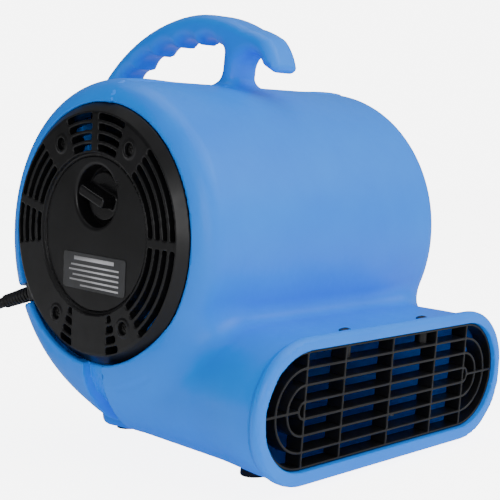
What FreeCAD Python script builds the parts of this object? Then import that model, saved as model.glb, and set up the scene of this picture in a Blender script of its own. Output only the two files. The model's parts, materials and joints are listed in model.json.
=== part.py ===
import FreeCAD, Part
import math
import os
import Sketcher

# Portable air mover: a moulded drum housing with an outlet duct at its foot, an inlet cover at each end,
# and a double-inlet blower wheel driven by a motor that hangs from the near cover.
# Row frame: +Z up, air leaves towards -Y, the drum lies along X and the switch is on the -X end.
# Pieces are drawn about the drum's own axis and their Placement lifts them to where they stand.

DOC = FreeCAD.newDocument("air_mover")
SHEET = DOC.addObject("Spreadsheet::Sheet", "dims")

DIMENSIONS = {
    # the drum's axis in the row frame
    "axis_back": 11.75,
    "axis_height": 151.0,
    # housing
    "wall": 3.0,
    "drum_radius": 100.0,
    "drum_half": 121.0,
    "drum_edge": 16.0,
    "opening_radius": 85.0,
    "scroll_radius": 113.0,
    "scroll_forward": 15.0,
    "scroll_drop": 22.0,
    "scroll_half": 121.0,
    "duct_round": 40.0,
    "duct_half_front": 125.5,
    "duct_half_rear": 121.0,
    "duct_rear_top": 48.0,
    "duct_rear_bottom": 135.0,
    "duct_rear_back": 15.0,
    "duct_rise": 41.9,
    "duct_fall": 44.0,
    "lip_forward": 146.6,
    "lip_drop": 101.3,
    "lip_tilt": 5.4,
    "lip_half": 129.3,
    "lip_half_height": 44.9,
    "lip_depth": 5.0,
    "mouth_half_height": 36.9,
    "groove_width": 17.0,
    # handle
    "handle_width": 28.0,
    "handle_round": 6.0,
    "handle_corner": 4.0,
    # rear leg
    "leg_half": 50.0,
    "leg_front": 50.0,
    "leg_back": 92.0,
    "leg_round": 12.0,
    "leg_clear": 1.0,
    # inlet covers
    "cover_turn": 3.8,
    "cover_proud": 6.0,
    "cover_wall": 3.0,
    "cover_fit": 0.4,
    "plateau_radius": 78.5,
    "disc_radius": 52.6,
    "disc_sunk": 2.4,
    "spigot": 9.0,
    "slot_first": 56.0,
    "slot_pitch": 6.6,
    "slot_width": 4.2,
    "spoke": 6.0,
    "bottom_rib": 35.0,
    "boss_circle": 65.6,
    "boss_radius": 6.2,
    "screw_radius": 2.0,
    "screw_head": 3.7,
    "running_gap": 0.05,
    # knob and switch
    "knob_up": 24.4,
    "well_radius": 20.0,
    "well_depth": 11.0,
    "knob_radius": 16.0,
    "knob_bar": 26.0,
    "knob_bar_width": 8.4,
    "knob_lean": 23.0,
    "spindle_radius": 3.0,
    # grille
    "grille_depth": 12.0,
    "grille_bar": 1.6,
    "grille_gap": 10.3,
    "grille_fit": 0.5,
    # motor and wheel
    "motor_radius": 40.0,
    "shaft_radius": 4.0,
    "wheel_radius": 78.0,
    "wheel_inner": 66.0,
    "wheel_half": 84.0,
    "wheel_plate_at": 12.0,
    "blade_count": 36.0,
    # feet
    "foot_radius": 9.5,
    "foot_out": 72.0,
    "foot_forward": 92.6,
    # cord
    "cord_radius": 3.75,
    "relief_radius": 5.5,
    "relief_length": 54.0,
    "relief_x": 116.0,
    "relief_angle": 15.0,
    "relief_drop": 22.5,
    "coil_mid_radius": 37.5,
}


class Size:
    """A number of the sheet, or a sum made from such numbers, with the expression that gives it."""

    def __init__(self, number, text):
        self.number = float(number)
        self.text = text

    def join(self, other, sign, number):
        text = other.text if isinstance(other, Size) else repr(other)
        return Size(number, f"({self.text} {sign} {text})")

    def __add__(self, other):
        return self.join(other, "+", self.number + plain(other))

    def __sub__(self, other):
        return self.join(other, "-", self.number - plain(other))

    def __mul__(self, other):
        return self.join(other, "*", self.number * plain(other))

    def __truediv__(self, other):
        return self.join(other, "/", self.number / plain(other))

    def __neg__(self):
        return Size(-self.number, f"(-1 * {self.text})")


def plain(value):
    """The number in a Size, or the number itself."""
    return value.number if isinstance(value, Size) else float(value)


def fill_sheet():
    """Writes every driving dimension into its own cell, with its name as the cell's alias."""
    for row, (name, value) in enumerate(DIMENSIONS.items(), start=1):
        SHEET.set(f"A{row}", name)
        SHEET.set(f"B{row}", str(value))
        SHEET.setAlias(f"B{row}", name)
    DOC.recompute()


def dim(name):
    """The Size of one cell of the sheet."""
    return Size(SHEET.get(name), f"dims.{name}")


def bind(thing, prop, value):
    """Sets a property of an object, and binds it to the sheet if the value is a Size."""
    if isinstance(value, Size):
        thing.setExpression(prop, value.text)
    else:
        setattr(thing, prop, value)


def place_at(thing, x=0.0, y=0.0, z=0.0, rotation=None):
    """Gives an object its place, each coordinate bound if it is a Size."""
    rotation = rotation or FreeCAD.Rotation()
    thing.Placement = FreeCAD.Placement(FreeCAD.Vector(plain(x), plain(y), plain(z)), rotation)
    for axis, value in zip("xyz", (x, y, z)):
        if isinstance(value, Size):
            thing.setExpression(f"Placement.Base.{axis}", value.text)


ALONG_X = FreeCAD.Rotation(FreeCAD.Vector(0, 1, 0), 90)
ALONG_Y = FreeCAD.Rotation(FreeCAD.Vector(1, 0, 0), -90)
UPRIGHT = FreeCAD.Rotation()


def box(label, lengths, corner, rotation=None):
    """A Part::Box with its lowest corner at corner."""
    thing = DOC.addObject("Part::Box", label)
    for prop, value in zip(("Length", "Width", "Height"), lengths):
        bind(thing, prop, value)
    place_at(thing, *corner, rotation)
    return thing


def rod(label, radius, length, start, rotation=ALONG_X):
    """A Part::Cylinder that starts at start and runs along the rotation's Z."""
    thing = DOC.addObject("Part::Cylinder", label)
    bind(thing, "Radius", radius)
    bind(thing, "Height", length)
    place_at(thing, *start, rotation)
    return thing


def screw_way(label, length, start):
    """A clearance hole for one of the cross-head screws, along X."""
    return rod(label, dim("screw_radius") + dim("running_gap"), length, start)


def cone(label, radius_start, radius_end, length, start, rotation=ALONG_X):
    """A Part::Cone that starts at start and runs along the rotation's Z."""
    thing = DOC.addObject("Part::Cone", label)
    bind(thing, "Radius1", radius_start)
    bind(thing, "Radius2", radius_end)
    bind(thing, "Height", length)
    place_at(thing, *start, rotation)
    return thing


def fuse(label, things):
    """One solid from several."""
    thing = DOC.addObject("Part::MultiFuse", label)
    thing.Shapes = things
    thing.Refine = True
    return thing


def cut(label, base, tools):
    """The base without its tools."""
    tool = tools[0] if len(tools) == 1 else fuse(label + "_tools", tools)
    thing = DOC.addObject("Part::Cut", label)
    thing.Base = base
    thing.Tool = tool
    thing.Refine = True
    return thing


def common(label, things):
    """What all the things share."""
    thing = DOC.addObject("Part::MultiCommon", label)
    thing.Shapes = things
    return thing


def group(label, things):
    """Several separate solids under one name."""
    thing = DOC.addObject("Part::Compound", label)
    thing.Links = things
    return thing


def origin_plane(body, role):
    """One of a body's own origin planes or axes."""
    return [item for item in body.Origin.OriginFeatures if item.Role == role][0]


def new_body(label):
    return DOC.addObject("PartDesign::Body", label)


def new_sketch(body, plane, offset=None):
    """A sketch on one of the body's origin planes, moved off it by offset."""
    sketch = body.newObject("Sketcher::SketchObject", body.Label + "_sketch")
    sketch.AttachmentSupport = (origin_plane(body, plane), [""])
    sketch.MapMode = "FlatFace"
    if offset is not None:
        sketch.AttachmentOffset = offset
    return sketch


def pin_point(sketch, geometry, point, x, y):
    """Holds one point of a sketch at x, y from its origin."""
    for kind, value in (("DistanceX", x), ("DistanceY", y)):
        number = sketch.addConstraint(Sketcher.Constraint(kind, -1, 1, geometry, point, plain(value)))
        if isinstance(value, Size):
            sketch.setExpression(f"Constraints[{number}]", value.text)


def draw_polygon(sketch, points):
    """A closed outline of straight edges through the points, each held in place."""
    vectors = [FreeCAD.Vector(plain(x), plain(y), 0) for x, y in points]
    count = len(points)
    first = sketch.GeometryCount
    for index in range(count):
        sketch.addGeometry(Part.LineSegment(vectors[index], vectors[(index + 1) % count]), False)
    for index in range(count):
        following = first + (index + 1) % count
        sketch.addConstraint(Sketcher.Constraint("Coincident", first + index, 2, following, 1))
    for index, (x, y) in enumerate(points):
        pin_point(sketch, first + index, 1, x, y)


def draw_circle(sketch, radius, x=0.0, y=0.0):
    """A circle of bound radius."""
    centre = FreeCAD.Vector(plain(x), plain(y), 0)
    number = sketch.addGeometry(Part.Circle(centre, FreeCAD.Vector(0, 0, 1), plain(radius)), False)
    place = sketch.addConstraint(Sketcher.Constraint("Radius", number, plain(radius)))
    if isinstance(radius, Size):
        sketch.setExpression(f"Constraints[{place}]", radius.text)
    pin_point(sketch, number, 3, x, y)


def draw_round_box(sketch, half, low, high, radius):
    """A rectangle from -half to half and from low to high with four round corners."""
    centres = (
        (half - radius, high - radius, 0.0),
        (-half + radius, high - radius, 90.0),
        (-half + radius, low + radius, 180.0),
        (half - radius, low + radius, 270.0),
    )
    arcs = []
    for x, y, start in centres:
        circle = Part.Circle(FreeCAD.Vector(plain(x), plain(y), 0), FreeCAD.Vector(0, 0, 1), plain(radius))
        arc = Part.ArcOfCircle(circle, math.radians(start), math.radians(start + 90.0))
        arcs.append(sketch.addGeometry(arc, False))
    for index, arc in enumerate(arcs):
        following = arcs[(index + 1) % 4]
        start = sketch.getPoint(arc, 2)
        end = sketch.getPoint(following, 1)
        line = sketch.addGeometry(Part.LineSegment(start, end), False)
        sketch.addConstraint(Sketcher.Constraint("Tangent", arc, 2, line, 1))
        sketch.addConstraint(Sketcher.Constraint("Tangent", line, 2, following, 1))
        sketch.addConstraint(Sketcher.Constraint("Horizontal" if index % 2 == 0 else "Vertical", line))
    for arc, (x, y, start) in zip(arcs[:3:2], (centres[0], centres[2])):
        pin_point(sketch, arc, 3, x, y)
    for other in arcs[1:]:
        sketch.addConstraint(Sketcher.Constraint("Equal", arcs[0], other))
    place = sketch.addConstraint(Sketcher.Constraint("Radius", arcs[0], plain(radius)))
    if isinstance(radius, Size):
        sketch.setExpression(f"Constraints[{place}]", radius.text)


def turned(label, points):
    """A solid of revolution about X, from an outline of (x, radius) points."""
    body = new_body(label)
    sketch = new_sketch(body, "XY_Plane")
    draw_polygon(sketch, points)
    DOC.recompute()
    feature = body.newObject("PartDesign::Revolution", label + "_turn")
    feature.Profile = sketch
    feature.ReferenceAxis = (sketch, ["H_Axis"])
    feature.Angle = 360.0
    return body


def padded(label, plane, draw, length, offset=None):
    """A solid made by padding one sketch the same length to both sides of its plane."""
    body = new_body(label)
    sketch = new_sketch(body, plane, offset)
    draw(sketch)
    DOC.recompute()
    pad = body.newObject("PartDesign::Pad", label + "_pad")
    pad.Profile = sketch
    bind(pad, "Length", length)
    pad.SideType = "Symmetric"
    return body


def on_axis(thing, turn=False):
    """Lifts a piece that was drawn about the drum's axis to its place, turned with the covers if asked."""
    angle = SHEET.get("cover_turn") if turn else 0.0
    rotation = FreeCAD.Rotation(FreeCAD.Vector(1, 0, 0), angle)
    place_at(thing, 0.0, dim("axis_back"), dim("axis_height"), rotation)
    return thing


def sector(label, radius, first, last, start, length):
    """A slice of a cylinder along X; angles are counted from the front (-Y) upwards."""
    thing = DOC.addObject("Part::Cylinder", label)
    bind(thing, "Radius", radius)
    bind(thing, "Height", length)
    thing.Angle = last - first
    spin = FreeCAD.Rotation(FreeCAD.Vector(1, 0, 0), -90.0 - last)
    place_at(thing, start, 0.0, 0.0, spin.multiply(ALONG_X))
    return thing


def polar(radius, degrees):
    """The y and z of a point on a circle about the drum's axis, counted from the front upwards."""
    angle = math.radians(degrees)
    return -radius * math.cos(angle), radius * math.sin(angle)


# ---------------------------------------------------------------- housing


def duct_section(body, half, low, high, offset, corner):
    """A sketch of one rounded section of the outlet duct, upright across the flow."""
    sketch = new_sketch(body, "XZ_Plane", offset)
    draw_round_box(sketch, half, low, high, corner)
    return sketch


def lip_place():
    """The frame of the outlet: its centre, tilted so that the air leaves slightly downwards."""
    turn = FreeCAD.Rotation(FreeCAD.Vector(1, 0, 0), SHEET.get("lip_tilt"))
    centre = FreeCAD.Vector(0, -SHEET.get("lip_forward"), -SHEET.get("lip_drop"))
    return FreeCAD.Placement(centre, turn)


def duct_sketch_offset(place):
    """A place in the row's axes as an offset on an XZ plane, whose own normal points along -Y."""
    upright = FreeCAD.Placement(FreeCAD.Vector(), FreeCAD.Rotation(FreeCAD.Vector(1, 0, 0), 90))
    return upright.inverse().multiply(place).multiply(upright)


def duct(label, half_front, half_rear, inset):
    """The outlet duct from inside the drum to the lip, its floor and roof drawn inset by a wall."""
    body = new_body(label)
    corner = dim("duct_round") - inset
    front = duct_section(
        body,
        half_front,
        -dim("duct_fall") + inset,
        dim("duct_rise") - inset,
        duct_sketch_offset(lip_place()),
        corner,
    )
    rear_place = FreeCAD.Placement(FreeCAD.Vector(0, -SHEET.get("duct_rear_back"), 0), FreeCAD.Rotation())
    rear = duct_section(
        body,
        half_rear,
        -dim("duct_rear_bottom") + inset,
        -dim("duct_rear_top") - inset,
        duct_sketch_offset(rear_place),
        corner,
    )
    DOC.recompute()
    loft = body.newObject("PartDesign::AdditiveLoft", label + "_loft")
    loft.Profile = front
    loft.Sections = [rear]
    loft.Ruled = True
    return body


def duct_outside(label):
    """The duct's outer shape."""
    return duct(label, dim("duct_half_front"), dim("duct_half_rear"), Size(0.0, "0"))


def stadium(label, half, half_height, depth, forward):
    """A slab with round ends across the outlet, from forward of its face back by depth."""
    slab = DOC.addObject("Part::Box", label + "_middle")
    bind(slab, "Length", (half - half_height) * 2)
    bind(slab, "Width", depth)
    bind(slab, "Height", half_height * 2)
    place_at(slab, -(half - half_height), -forward, -half_height)
    ends = [
        rod(label + "_end", half_height, depth, (side, -forward, 0.0), ALONG_Y)
        for side in (half - half_height, -(half - half_height))
    ]
    whole = fuse(label, [slab] + ends)
    whole.Placement = lip_place()
    return whole


def barrel(label, half, radius, edge):
    """A drum about the X axis with round edges."""
    body = padded(label, "YZ_Plane", lambda sketch: draw_circle(sketch, radius), half * 2)
    DOC.recompute()
    pad = body.Tip
    fillet = body.newObject("PartDesign::Fillet", label + "_edge")
    fillet.Base = (pad, edge_names(pad.Shape, lambda curve: abs(curve.CenterOfMass.x) > 1.0))
    bind(fillet, "Radius", edge)
    return body


def edge_names(shape, wanted):
    """Names of the edges that meet a test."""
    return [f"Edge{number}" for number, edge in enumerate(shape.Edges, start=1) if wanted(edge)]


def scroll(label, inset):
    """The scroll's lower back quarter, between the duct and the drum's back."""
    drum = barrel(
        label + "_drum",
        dim("scroll_half") - inset,
        dim("scroll_radius") - inset,
        dim("duct_round") - inset,
    )
    place_at(drum, 0.0, -dim("scroll_forward"), -dim("scroll_drop"))
    quarter = box(
        label + "_quarter",
        (dim("drum_half") * 2 + 20.0, dim("scroll_radius") * 2, dim("scroll_radius") * 2),
        (-dim("drum_half") - 10.0, -dim("duct_rear_back"), -dim("scroll_drop") - dim("scroll_radius") * 2),
    )
    return common(label, [drum, quarter])


HANDLE_OUTLINE = (
    # (kind, end y, end z, via y, via z): arcs pass through via, lines have none
    ("arc", 124.0, 111.0, 127.0, 80.0),
    ("arc", 46.0, 151.0, 92.0, 135.0),
    ("arc", -27.0, 139.8, 12.0, 152.2),
    ("arc", -46.5, 131.0, -37.3, 136.0),
    ("arc", -56.0, 112.0, -52.8, 121.5),
    ("arc", -51.0, 107.2, -55.0, 108.4),
    ("line", -42.0, 112.6),
    ("arc", -18.0, 112.0, -30.0, 121.5),
    ("line", -17.0, 106.0),
    ("arc", -21.0, 95.5, -17.9, 100.5),
    ("line", -21.0, 86.0),
    ("line", 16.0, 86.0),
    ("line", 15.0, 98.5),
    ("arc", -3.5, 112.0, 1.0, 104.0),
    ("line", -5.0, 123.0),
    ("arc", 1.0, 130.0, -3.3, 128.2),
    ("arc", 21.0, 131.0, 11.0, 134.8),
    ("arc", 44.0, 130.5, 33.0, 136.0),
    ("arc", 67.0, 126.0, 56.0, 133.0),
    ("arc", 88.0, 117.5, 78.5, 126.5),
    ("arc", 104.0, 98.0, 101.0, 113.0),
    ("arc", 88.0, 40.0, 102.0, 68.0),
)


def handle_face():
    """The flat side outline of the handle with its finger scallops and cord hook, in the Y-Z plane."""
    start = FreeCAD.Vector(0, 97.0, 22.0)
    edges = []
    here = start
    for step in HANDLE_OUTLINE:
        end = FreeCAD.Vector(0, step[1], step[2])
        if step[0] == "arc":
            edges.append(Part.Arc(here, FreeCAD.Vector(0, step[3], step[4]), end).toShape())
        else:
            edges.append(Part.LineSegment(here, end).toShape())
        here = end
    edges.append(Part.LineSegment(here, start).toShape())
    return Part.Face(Part.Wire(edges))


def clear_of_drum(edge, reach):
    """Whether an edge of the handle's blank lies outside the drum."""
    middle = edge.CenterOfMass
    return math.hypot(middle.y, middle.z) > reach


def eased(solid, radius, edges):
    """The solid with some edges rounded, by the largest share of the radius that leaves it whole."""
    for share in (1.0, 0.7, 0.4, 0.2):
        try:
            result = solid.makeFillet(radius * share, edges)
        except Part.OCCError:
            continue
        if result.isValid() and 0.85 * solid.Volume < result.Volume < 1.1 * solid.Volume:
            return result
    return solid


def handle():
    """The grip: its side outline given the handle's width, its corners eased and its long edges rounded."""
    half = SHEET.get("handle_width") / 2
    face = handle_face()
    face.translate(FreeCAD.Vector(-half, 0, 0))
    grip = face.extrude(FreeCAD.Vector(half * 2, 0, 0))
    corners = [edge for edge in grip.Edges if abs(edge.CenterOfMass.x) < 0.01 and clear_of_drum(edge, 90.0)]
    for middle in [edge.CenterOfMass for edge in corners]:
        there = [edge for edge in grip.Edges if (edge.CenterOfMass - middle).Length < 0.5]
        grip = eased(grip, SHEET.get("handle_corner"), there[:1])
    sides = [edge for edge in grip.Edges
             if abs(abs(edge.CenterOfMass.x) - half) < 0.01 and clear_of_drum(edge, 97.0)]
    thing = DOC.addObject("Part::Feature", "handle_grip")
    thing.Shape = eased(grip, SHEET.get("handle_round"), sides)
    return thing


def leg_block():
    """The leg under the scroll's back, before the scroll is taken out of its top."""
    body = new_body("leg_block")
    floor = -dim("axis_height") + dim("leg_clear")
    sketch = new_sketch(body, "XZ_Plane", FreeCAD.Placement(
        FreeCAD.Vector(0, 0, -(SHEET.get("leg_front") + SHEET.get("leg_back")) / 2), FreeCAD.Rotation()))
    draw_round_box(sketch, dim("leg_half"), floor, Size(-60.0, "(-60)"), dim("leg_round"))
    DOC.recompute()
    pad = body.newObject("PartDesign::Pad", "leg_block_pad")
    pad.Profile = sketch
    bind(pad, "Length", dim("leg_back") - dim("leg_front"))
    pad.SideType = "Symmetric"
    return body


def cover_lugs(side):
    """Four lugs behind one opening that take the cover's screws."""
    lugs = []
    for degrees in BOSS_ANGLES:
        arm = box("lug_arm", (11.0, 30.0, 14.0), (0, 0, 0))
        heel = box("lug_heel", (11.5, 12.5, 14.0), (0, 0, 0))
        for piece, reach, start in ((arm, 57.0, 100.5), (heel, 85.4, 100.5)):
            x = side * start if side > 0 else -start - piece.Length.Value
            turn = FreeCAD.Rotation(FreeCAD.Vector(1, 0, 0), 180.0 - degrees + SHEET.get("cover_turn"))
            corner = turn.multVec(FreeCAD.Vector(0, reach, -7.0))
            piece.Placement = FreeCAD.Placement(FreeCAD.Vector(x, corner.y, corner.z), turn)
            lugs.append(piece)
    return lugs


BOSS_ANGLES = (59.0, 121.0, 239.0, 301.0)
SIDES = (-1, 1)


def boss_points():
    """The four cover screws' y and z, as the covers are turned."""
    turn = SHEET.get("cover_turn")
    return [polar(SHEET.get("boss_circle"), degrees - turn) for degrees in BOSS_ANGLES]


def hollow():
    """The inside of the drum, scroll and duct, up to a little way behind the outlet's face."""
    wall = dim("wall")
    half = dim("drum_half") - wall
    inside_drum = barrel("drum_inside", half, dim("drum_radius") - wall, dim("drum_edge") - wall)
    inside_duct = duct("duct_inside", half, half, wall)
    rough = fuse("hollow_rough", [inside_drum, inside_duct, scroll("scroll_inside", wall)])
    front = box("hollow_front", (300.0, 60.0, 200.0), (0, 0, 0))
    front.Placement = lip_place().multiply(
        FreeCAD.Placement(FreeCAD.Vector(-150.0, -42.0, -100.0), FreeCAD.Rotation()))
    block = box("groove_block", (21.0, dim("groove_width") + 6.0, 120.0),
                (-130.0, -dim("groove_width") / 2 - 2.0, -200.0))
    return cut("hollow", rough, [front, block])


def moulding():
    """The moulded shell without its handle and leg: drum, scroll, duct and lip, hollow behind one wall."""
    drum = barrel("drum", dim("drum_half"), dim("drum_radius"), dim("drum_edge"))
    lip = stadium("lip", dim("lip_half"), dim("lip_half_height"), dim("lip_depth"), 0.0)
    outside = [duct_outside("duct"), scroll("scroll", Size(0.0, "0"))]
    shoulders = [
        box("shoulder", (20.0, 200.0, 200.0), (start, -94.0, -100.0))
        for start in (dim("drum_half"), -dim("drum_half") - 20.0)
    ]
    body = cut("lower_body", fuse("lower_rough", outside), shoulders)
    solid = fuse("moulding_solid", [drum, body, lip])
    mouth = stadium("mouth", dim("lip_half") - 8.0, dim("mouth_half_height"), Size(26.0, "26"), 6.0)
    across = dim("drum_half") * 2 + 20.0
    openings = rod("openings", dim("opening_radius"), across, (-dim("drum_half") - 10.0, 0.0, 0.0))
    groove = box("groove", (18.0, dim("groove_width"), 80.0),
                 (-130.0, -dim("groove_width") / 2 + 1.0, -160.0))
    shell = cut("moulding_shell", solid, [hollow(), mouth, openings, groove, relief_notch()])
    with_lugs = fuse("moulding_lugs", [shell] + cover_lugs(-1) + cover_lugs(1))
    holes = [
        screw_way("lug_hole", 14.0, (99.0 if side > 0 else -113.0, y, z))
        for side in SIDES
        for y, z in boss_points()
    ]
    holes += [foot_hole(x, y) for x, y in foot_places()]
    holes += [grille_screw_hole(x) for x in GRILLE_SCREWS]
    return solid, cut("moulding", with_lugs, holes)


def shell_pieces():
    """The shell as four nodes: the drum with its scroll, the outlet duct, the handle and the rear leg."""
    solid, whole = moulding()
    ahead = box("duct_part", (400.0, 120.0, 120.0), (-200.0, -206.0, -173.0))
    core = rod("handle_core", dim("drum_radius"), 60.0, (-30.0, 0.0, 0.0))
    return [
        on_axis(cut("housing", whole, [ahead])),
        on_axis(common("outlet_duct", [whole, ahead])),
        on_axis(cut("carry_handle", handle(), [core])),
        on_axis(cut("rear_leg", leg_block(), [solid])),
    ]


def relief_notch():
    """The gap in the near ring that the cord's strain relief passes through."""
    turn = FreeCAD.Rotation(FreeCAD.Vector(1, 0, 0), -SHEET.get("relief_angle"))
    notch = box("relief_notch", (20.0, 30.0, 14.6), (0, 0, 0))
    corner = turn.multVec(FreeCAD.Vector(0, 76.0, -7.3 - SHEET.get("relief_drop")))
    notch.Placement = FreeCAD.Placement(FreeCAD.Vector(-129.0, corner.y, corner.z), turn)
    return notch



# ---------------------------------------------------------------- feet and outlet grille


GRILLE_SCREWS = (-41.0, 41.0)
GRILLE_SCREW_BACK = 10.0


def foot_places():
    """The two front feet's x and y under the duct."""
    return [(side * SHEET.get("foot_out"), -SHEET.get("foot_forward")) for side in SIDES]


def foot_hole(x, y):
    """A screw hole up through the duct's floor."""
    start = (x, y, -SHEET.get("axis_height") + 4.0)
    return rod("foot_hole", dim("screw_radius") + dim("running_gap"), 20.0, start, UPRIGHT)


def grille_screw_hole(x):
    """A screw hole down through the duct's top, square to the outlet."""
    hole = rod("grille_screw_hole", dim("screw_radius") + dim("running_gap"), 20.0, (0, 0, 0), UPRIGHT)
    hole.Placement = lip_place().multiply(
        FreeCAD.Placement(FreeCAD.Vector(x, GRILLE_SCREW_BACK, 27.0), FreeCAD.Rotation()))
    return hole


def feet():
    """Rubber front feet, shaped to the duct's sloping floor, with a screw seat in each."""
    floor = -dim("axis_height")
    soles = [rod("foot_sole", dim("foot_radius"), 14.0, (x, y, floor), UPRIGHT) for x, y in foot_places()]
    tools = [duct_outside("duct_for_feet")]
    for x, y in foot_places():
        tools.append(rod("foot_seat", dim("screw_head") + 0.5, 4.0, (x, y, floor), UPRIGHT))
        tools.append(foot_hole(x, y))
    return on_axis(cut("front_feet", group("foot_soles", soles), tools))


def foot_screws():
    """A pan-head screw up through each front foot into the duct's floor."""
    screws = []
    for x, y in foot_places():
        start = (x, y, -dim("axis_height") + 4.0)
        shank = rod("foot_shank", dim("screw_radius"), 13.0, start, UPRIGHT)
        head = rod("foot_head", dim("screw_head"), 2.4, (x, y, -dim("axis_height") + 1.6), UPRIGHT)
        screws.append(fuse("foot_screw", [shank, head]))
    return on_axis(group("foot_screws", screws))


def rear_pads():
    """Rubber pads under the rear leg."""
    floor = -dim("axis_height")
    pads = [
        rod("rear_pad", dim("foot_radius"), dim("leg_clear"), (side * 34.0, 71.0, floor), UPRIGHT)
        for side in SIDES
    ]
    return on_axis(group("rear_pads", pads))


BAR_DEPTH = 7.0
UPRIGHT_BACK = 2.0 + BAR_DEPTH


def grille_centre():
    """How far out the middles of the outlet's round ends are."""
    return SHEET.get("lip_half") - 8.0 - SHEET.get("mouth_half_height")


def grille_bar(z):
    """One straight bar across the outlet, in the outlet's own frame."""
    half = dim("grille_bar") / 2
    centre = grille_centre()
    return box("grille_bar", (centre * 2, BAR_DEPTH, half * 2), (-centre, 2.0, -half + z))


def grille_upright(x, top):
    """One upright behind the bars, from the rim's foot to its top."""
    half = dim("grille_bar") / 2
    depth = dim("grille_depth") - BAR_DEPTH
    return box("grille_upright", (half * 2, depth, top * 2), (-half + x, UPRIGHT_BACK, -top))


def grille_spoke(side, top):
    """One level spoke from the smallest bow out to the rim at one end."""
    half = dim("grille_bar") / 2
    depth = dim("grille_depth") - BAR_DEPTH
    start = grille_centre() + SHEET.get("grille_gap") * 0.5 - 0.8
    length = top.number - SHEET.get("grille_gap") * 0.5 + 0.8
    corner = start if side > 0 else -start - length
    return box("grille_spoke", (length, depth, half * 2), (corner, UPRIGHT_BACK, -half))


def grille_bow(side, radius):
    """The half ring that joins a bar above the middle to its partner below it at one end."""
    half = dim("grille_bar") / 2
    centre = grille_centre()
    start = (side * centre, 2.0, 0.0)
    outer = rod("bow_outer", half + radius, BAR_DEPTH, start, ALONG_Y)
    inner = rod("bow_inner", -half + radius, BAR_DEPTH + 2.0, (side * centre, 1.0, 0.0), ALONG_Y)
    edge = -centre if side < 0 else centre - radius - 2.0
    inward = box("bow_inward", (radius + 2.0, 14.0, radius * 2 + 4.0), (edge, 1.0, -radius - 2.0))
    return cut("grille_bow", outer, [inner, inward])


def placed_at_lip(label, pieces):
    """Pieces made in the outlet's own frame, turned into place as one node."""
    whole = group(label + "_set", pieces)
    whole.Placement = lip_place()
    return on_axis(group(label, [whole]))


def grille_pieces():
    """The outlet grille as four nodes: the rim, the level bars, their round ends and the uprights."""
    centre = grille_centre()
    gap = SHEET.get("grille_gap")
    rim_height = dim("mouth_half_height") - dim("grille_fit")
    rim_half = dim("lip_half") - 8.0 - dim("grille_fit")
    bar = dim("grille_bar")
    outer = stadium("rim_outer", rim_half, rim_height, dim("grille_depth"), -2.0)
    inner = stadium("rim_inner", rim_half - bar, rim_height - bar, dim("grille_depth") + 2.0, -1.0)
    rim = cut("grille_rim", outer, [inner])
    bosses = [rod("grille_boss", 4.0, 9.0, (x, GRILLE_SCREW_BACK, 27.0), UPRIGHT) for x in GRILLE_SCREWS]
    both = group("grille_bosses", bosses)
    both.Placement = lip_place()
    holes = [grille_screw_hole(x) for x in GRILLE_SCREWS]
    rows = (0.5, 1.5, 2.5)
    top = rim_height - bar
    bars = [grille_bar(side * row * gap) for row in rows for side in SIDES]
    bows = [grille_bow(side, row * gap) for row in rows for side in SIDES]
    uprights = [grille_upright(x, top) for x in (-centre, -48.3, 0.0, 48.3, centre)]
    spokes = [grille_spoke(side, top - 0.02) for side in SIDES]
    return [
        on_axis(cut("outlet_grille", fuse("grille_whole", [rim, both]), holes)),
        placed_at_lip("grille_bars", bars),
        placed_at_lip("grille_bows", bows),
        placed_at_lip("grille_uprights", uprights + spokes),
    ]


def grille_screws():
    """Button-head screws down through the duct's top into the grille."""
    screws = []
    for x in GRILLE_SCREWS:
        shank = rod("grille_shank", dim("screw_radius"), 13.0, (x, GRILLE_SCREW_BACK, 29.2), UPRIGHT)
        head = cone("grille_head", 4.5, 3.2, 2.4, (x, GRILLE_SCREW_BACK, 42.0), UPRIGHT)
        socket = rod("grille_socket", 1.4, 1.4, (x, GRILLE_SCREW_BACK, 43.1), UPRIGHT)
        screws.append(cut("grille_screw", fuse("grille_screw_solid", [shank, head]), [socket]))
    pair = group("grille_screw_pair", screws)
    pair.Placement = lip_place()
    return on_axis(group("grille_screws", [pair]))


# ---------------------------------------------------------------- inlet covers


COVER_TOP = 127.0
DISC_TOP = 124.6
POST_ANGLES = (15.0, 165.0, -50.0, -130.0)
POST_CIRCLE = 46.0
BOLT_CIRCLE = 34.0
BOLT_ANGLES = (45.0, 135.0, 225.0, 315.0)
SLOT_GROUPS = ((-50.0, 48.0), (68.0, 112.0), (134.0, 190.0), (247.5, 292.5))
SPOKES = (0.0, 90.0, 167.0)


def outward(side, near, far):
    """Start and length along X of something from near to far, counted outwards from the middle."""
    return (near if side > 0 else -far), far - near


def cover_disc(side):
    """The cover's plate, with a sunk middle, a sloping flank and a spigot into the opening."""
    spigot_radius = dim("opening_radius") - dim("cover_fit")
    wall = dim("cover_wall")
    face = dim("drum_half") + dim("cover_proud")
    sunk = face - dim("disc_sunk")
    outline = (
        (sunk, Size(0.0, "0")),
        (sunk, dim("disc_radius") - 0.8),
        (face, dim("disc_radius")),
        (face, dim("plateau_radius")),
        (dim("drum_half"), spigot_radius),
        (dim("drum_half") - dim("spigot"), spigot_radius),
        (dim("drum_half") - dim("spigot"), spigot_radius - wall),
        (dim("drum_half") - 1.3, spigot_radius - wall),
        (face - wall, dim("plateau_radius") - 1.3),
        (face - wall, dim("disc_radius") - 2.8),
        (sunk - wall, dim("disc_radius") - 3.6),
        (sunk - wall, Size(0.0, "0")),
    )
    return turned("cover_disc", [(x if side > 0 else -x, radius) for x, radius in outline])


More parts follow.
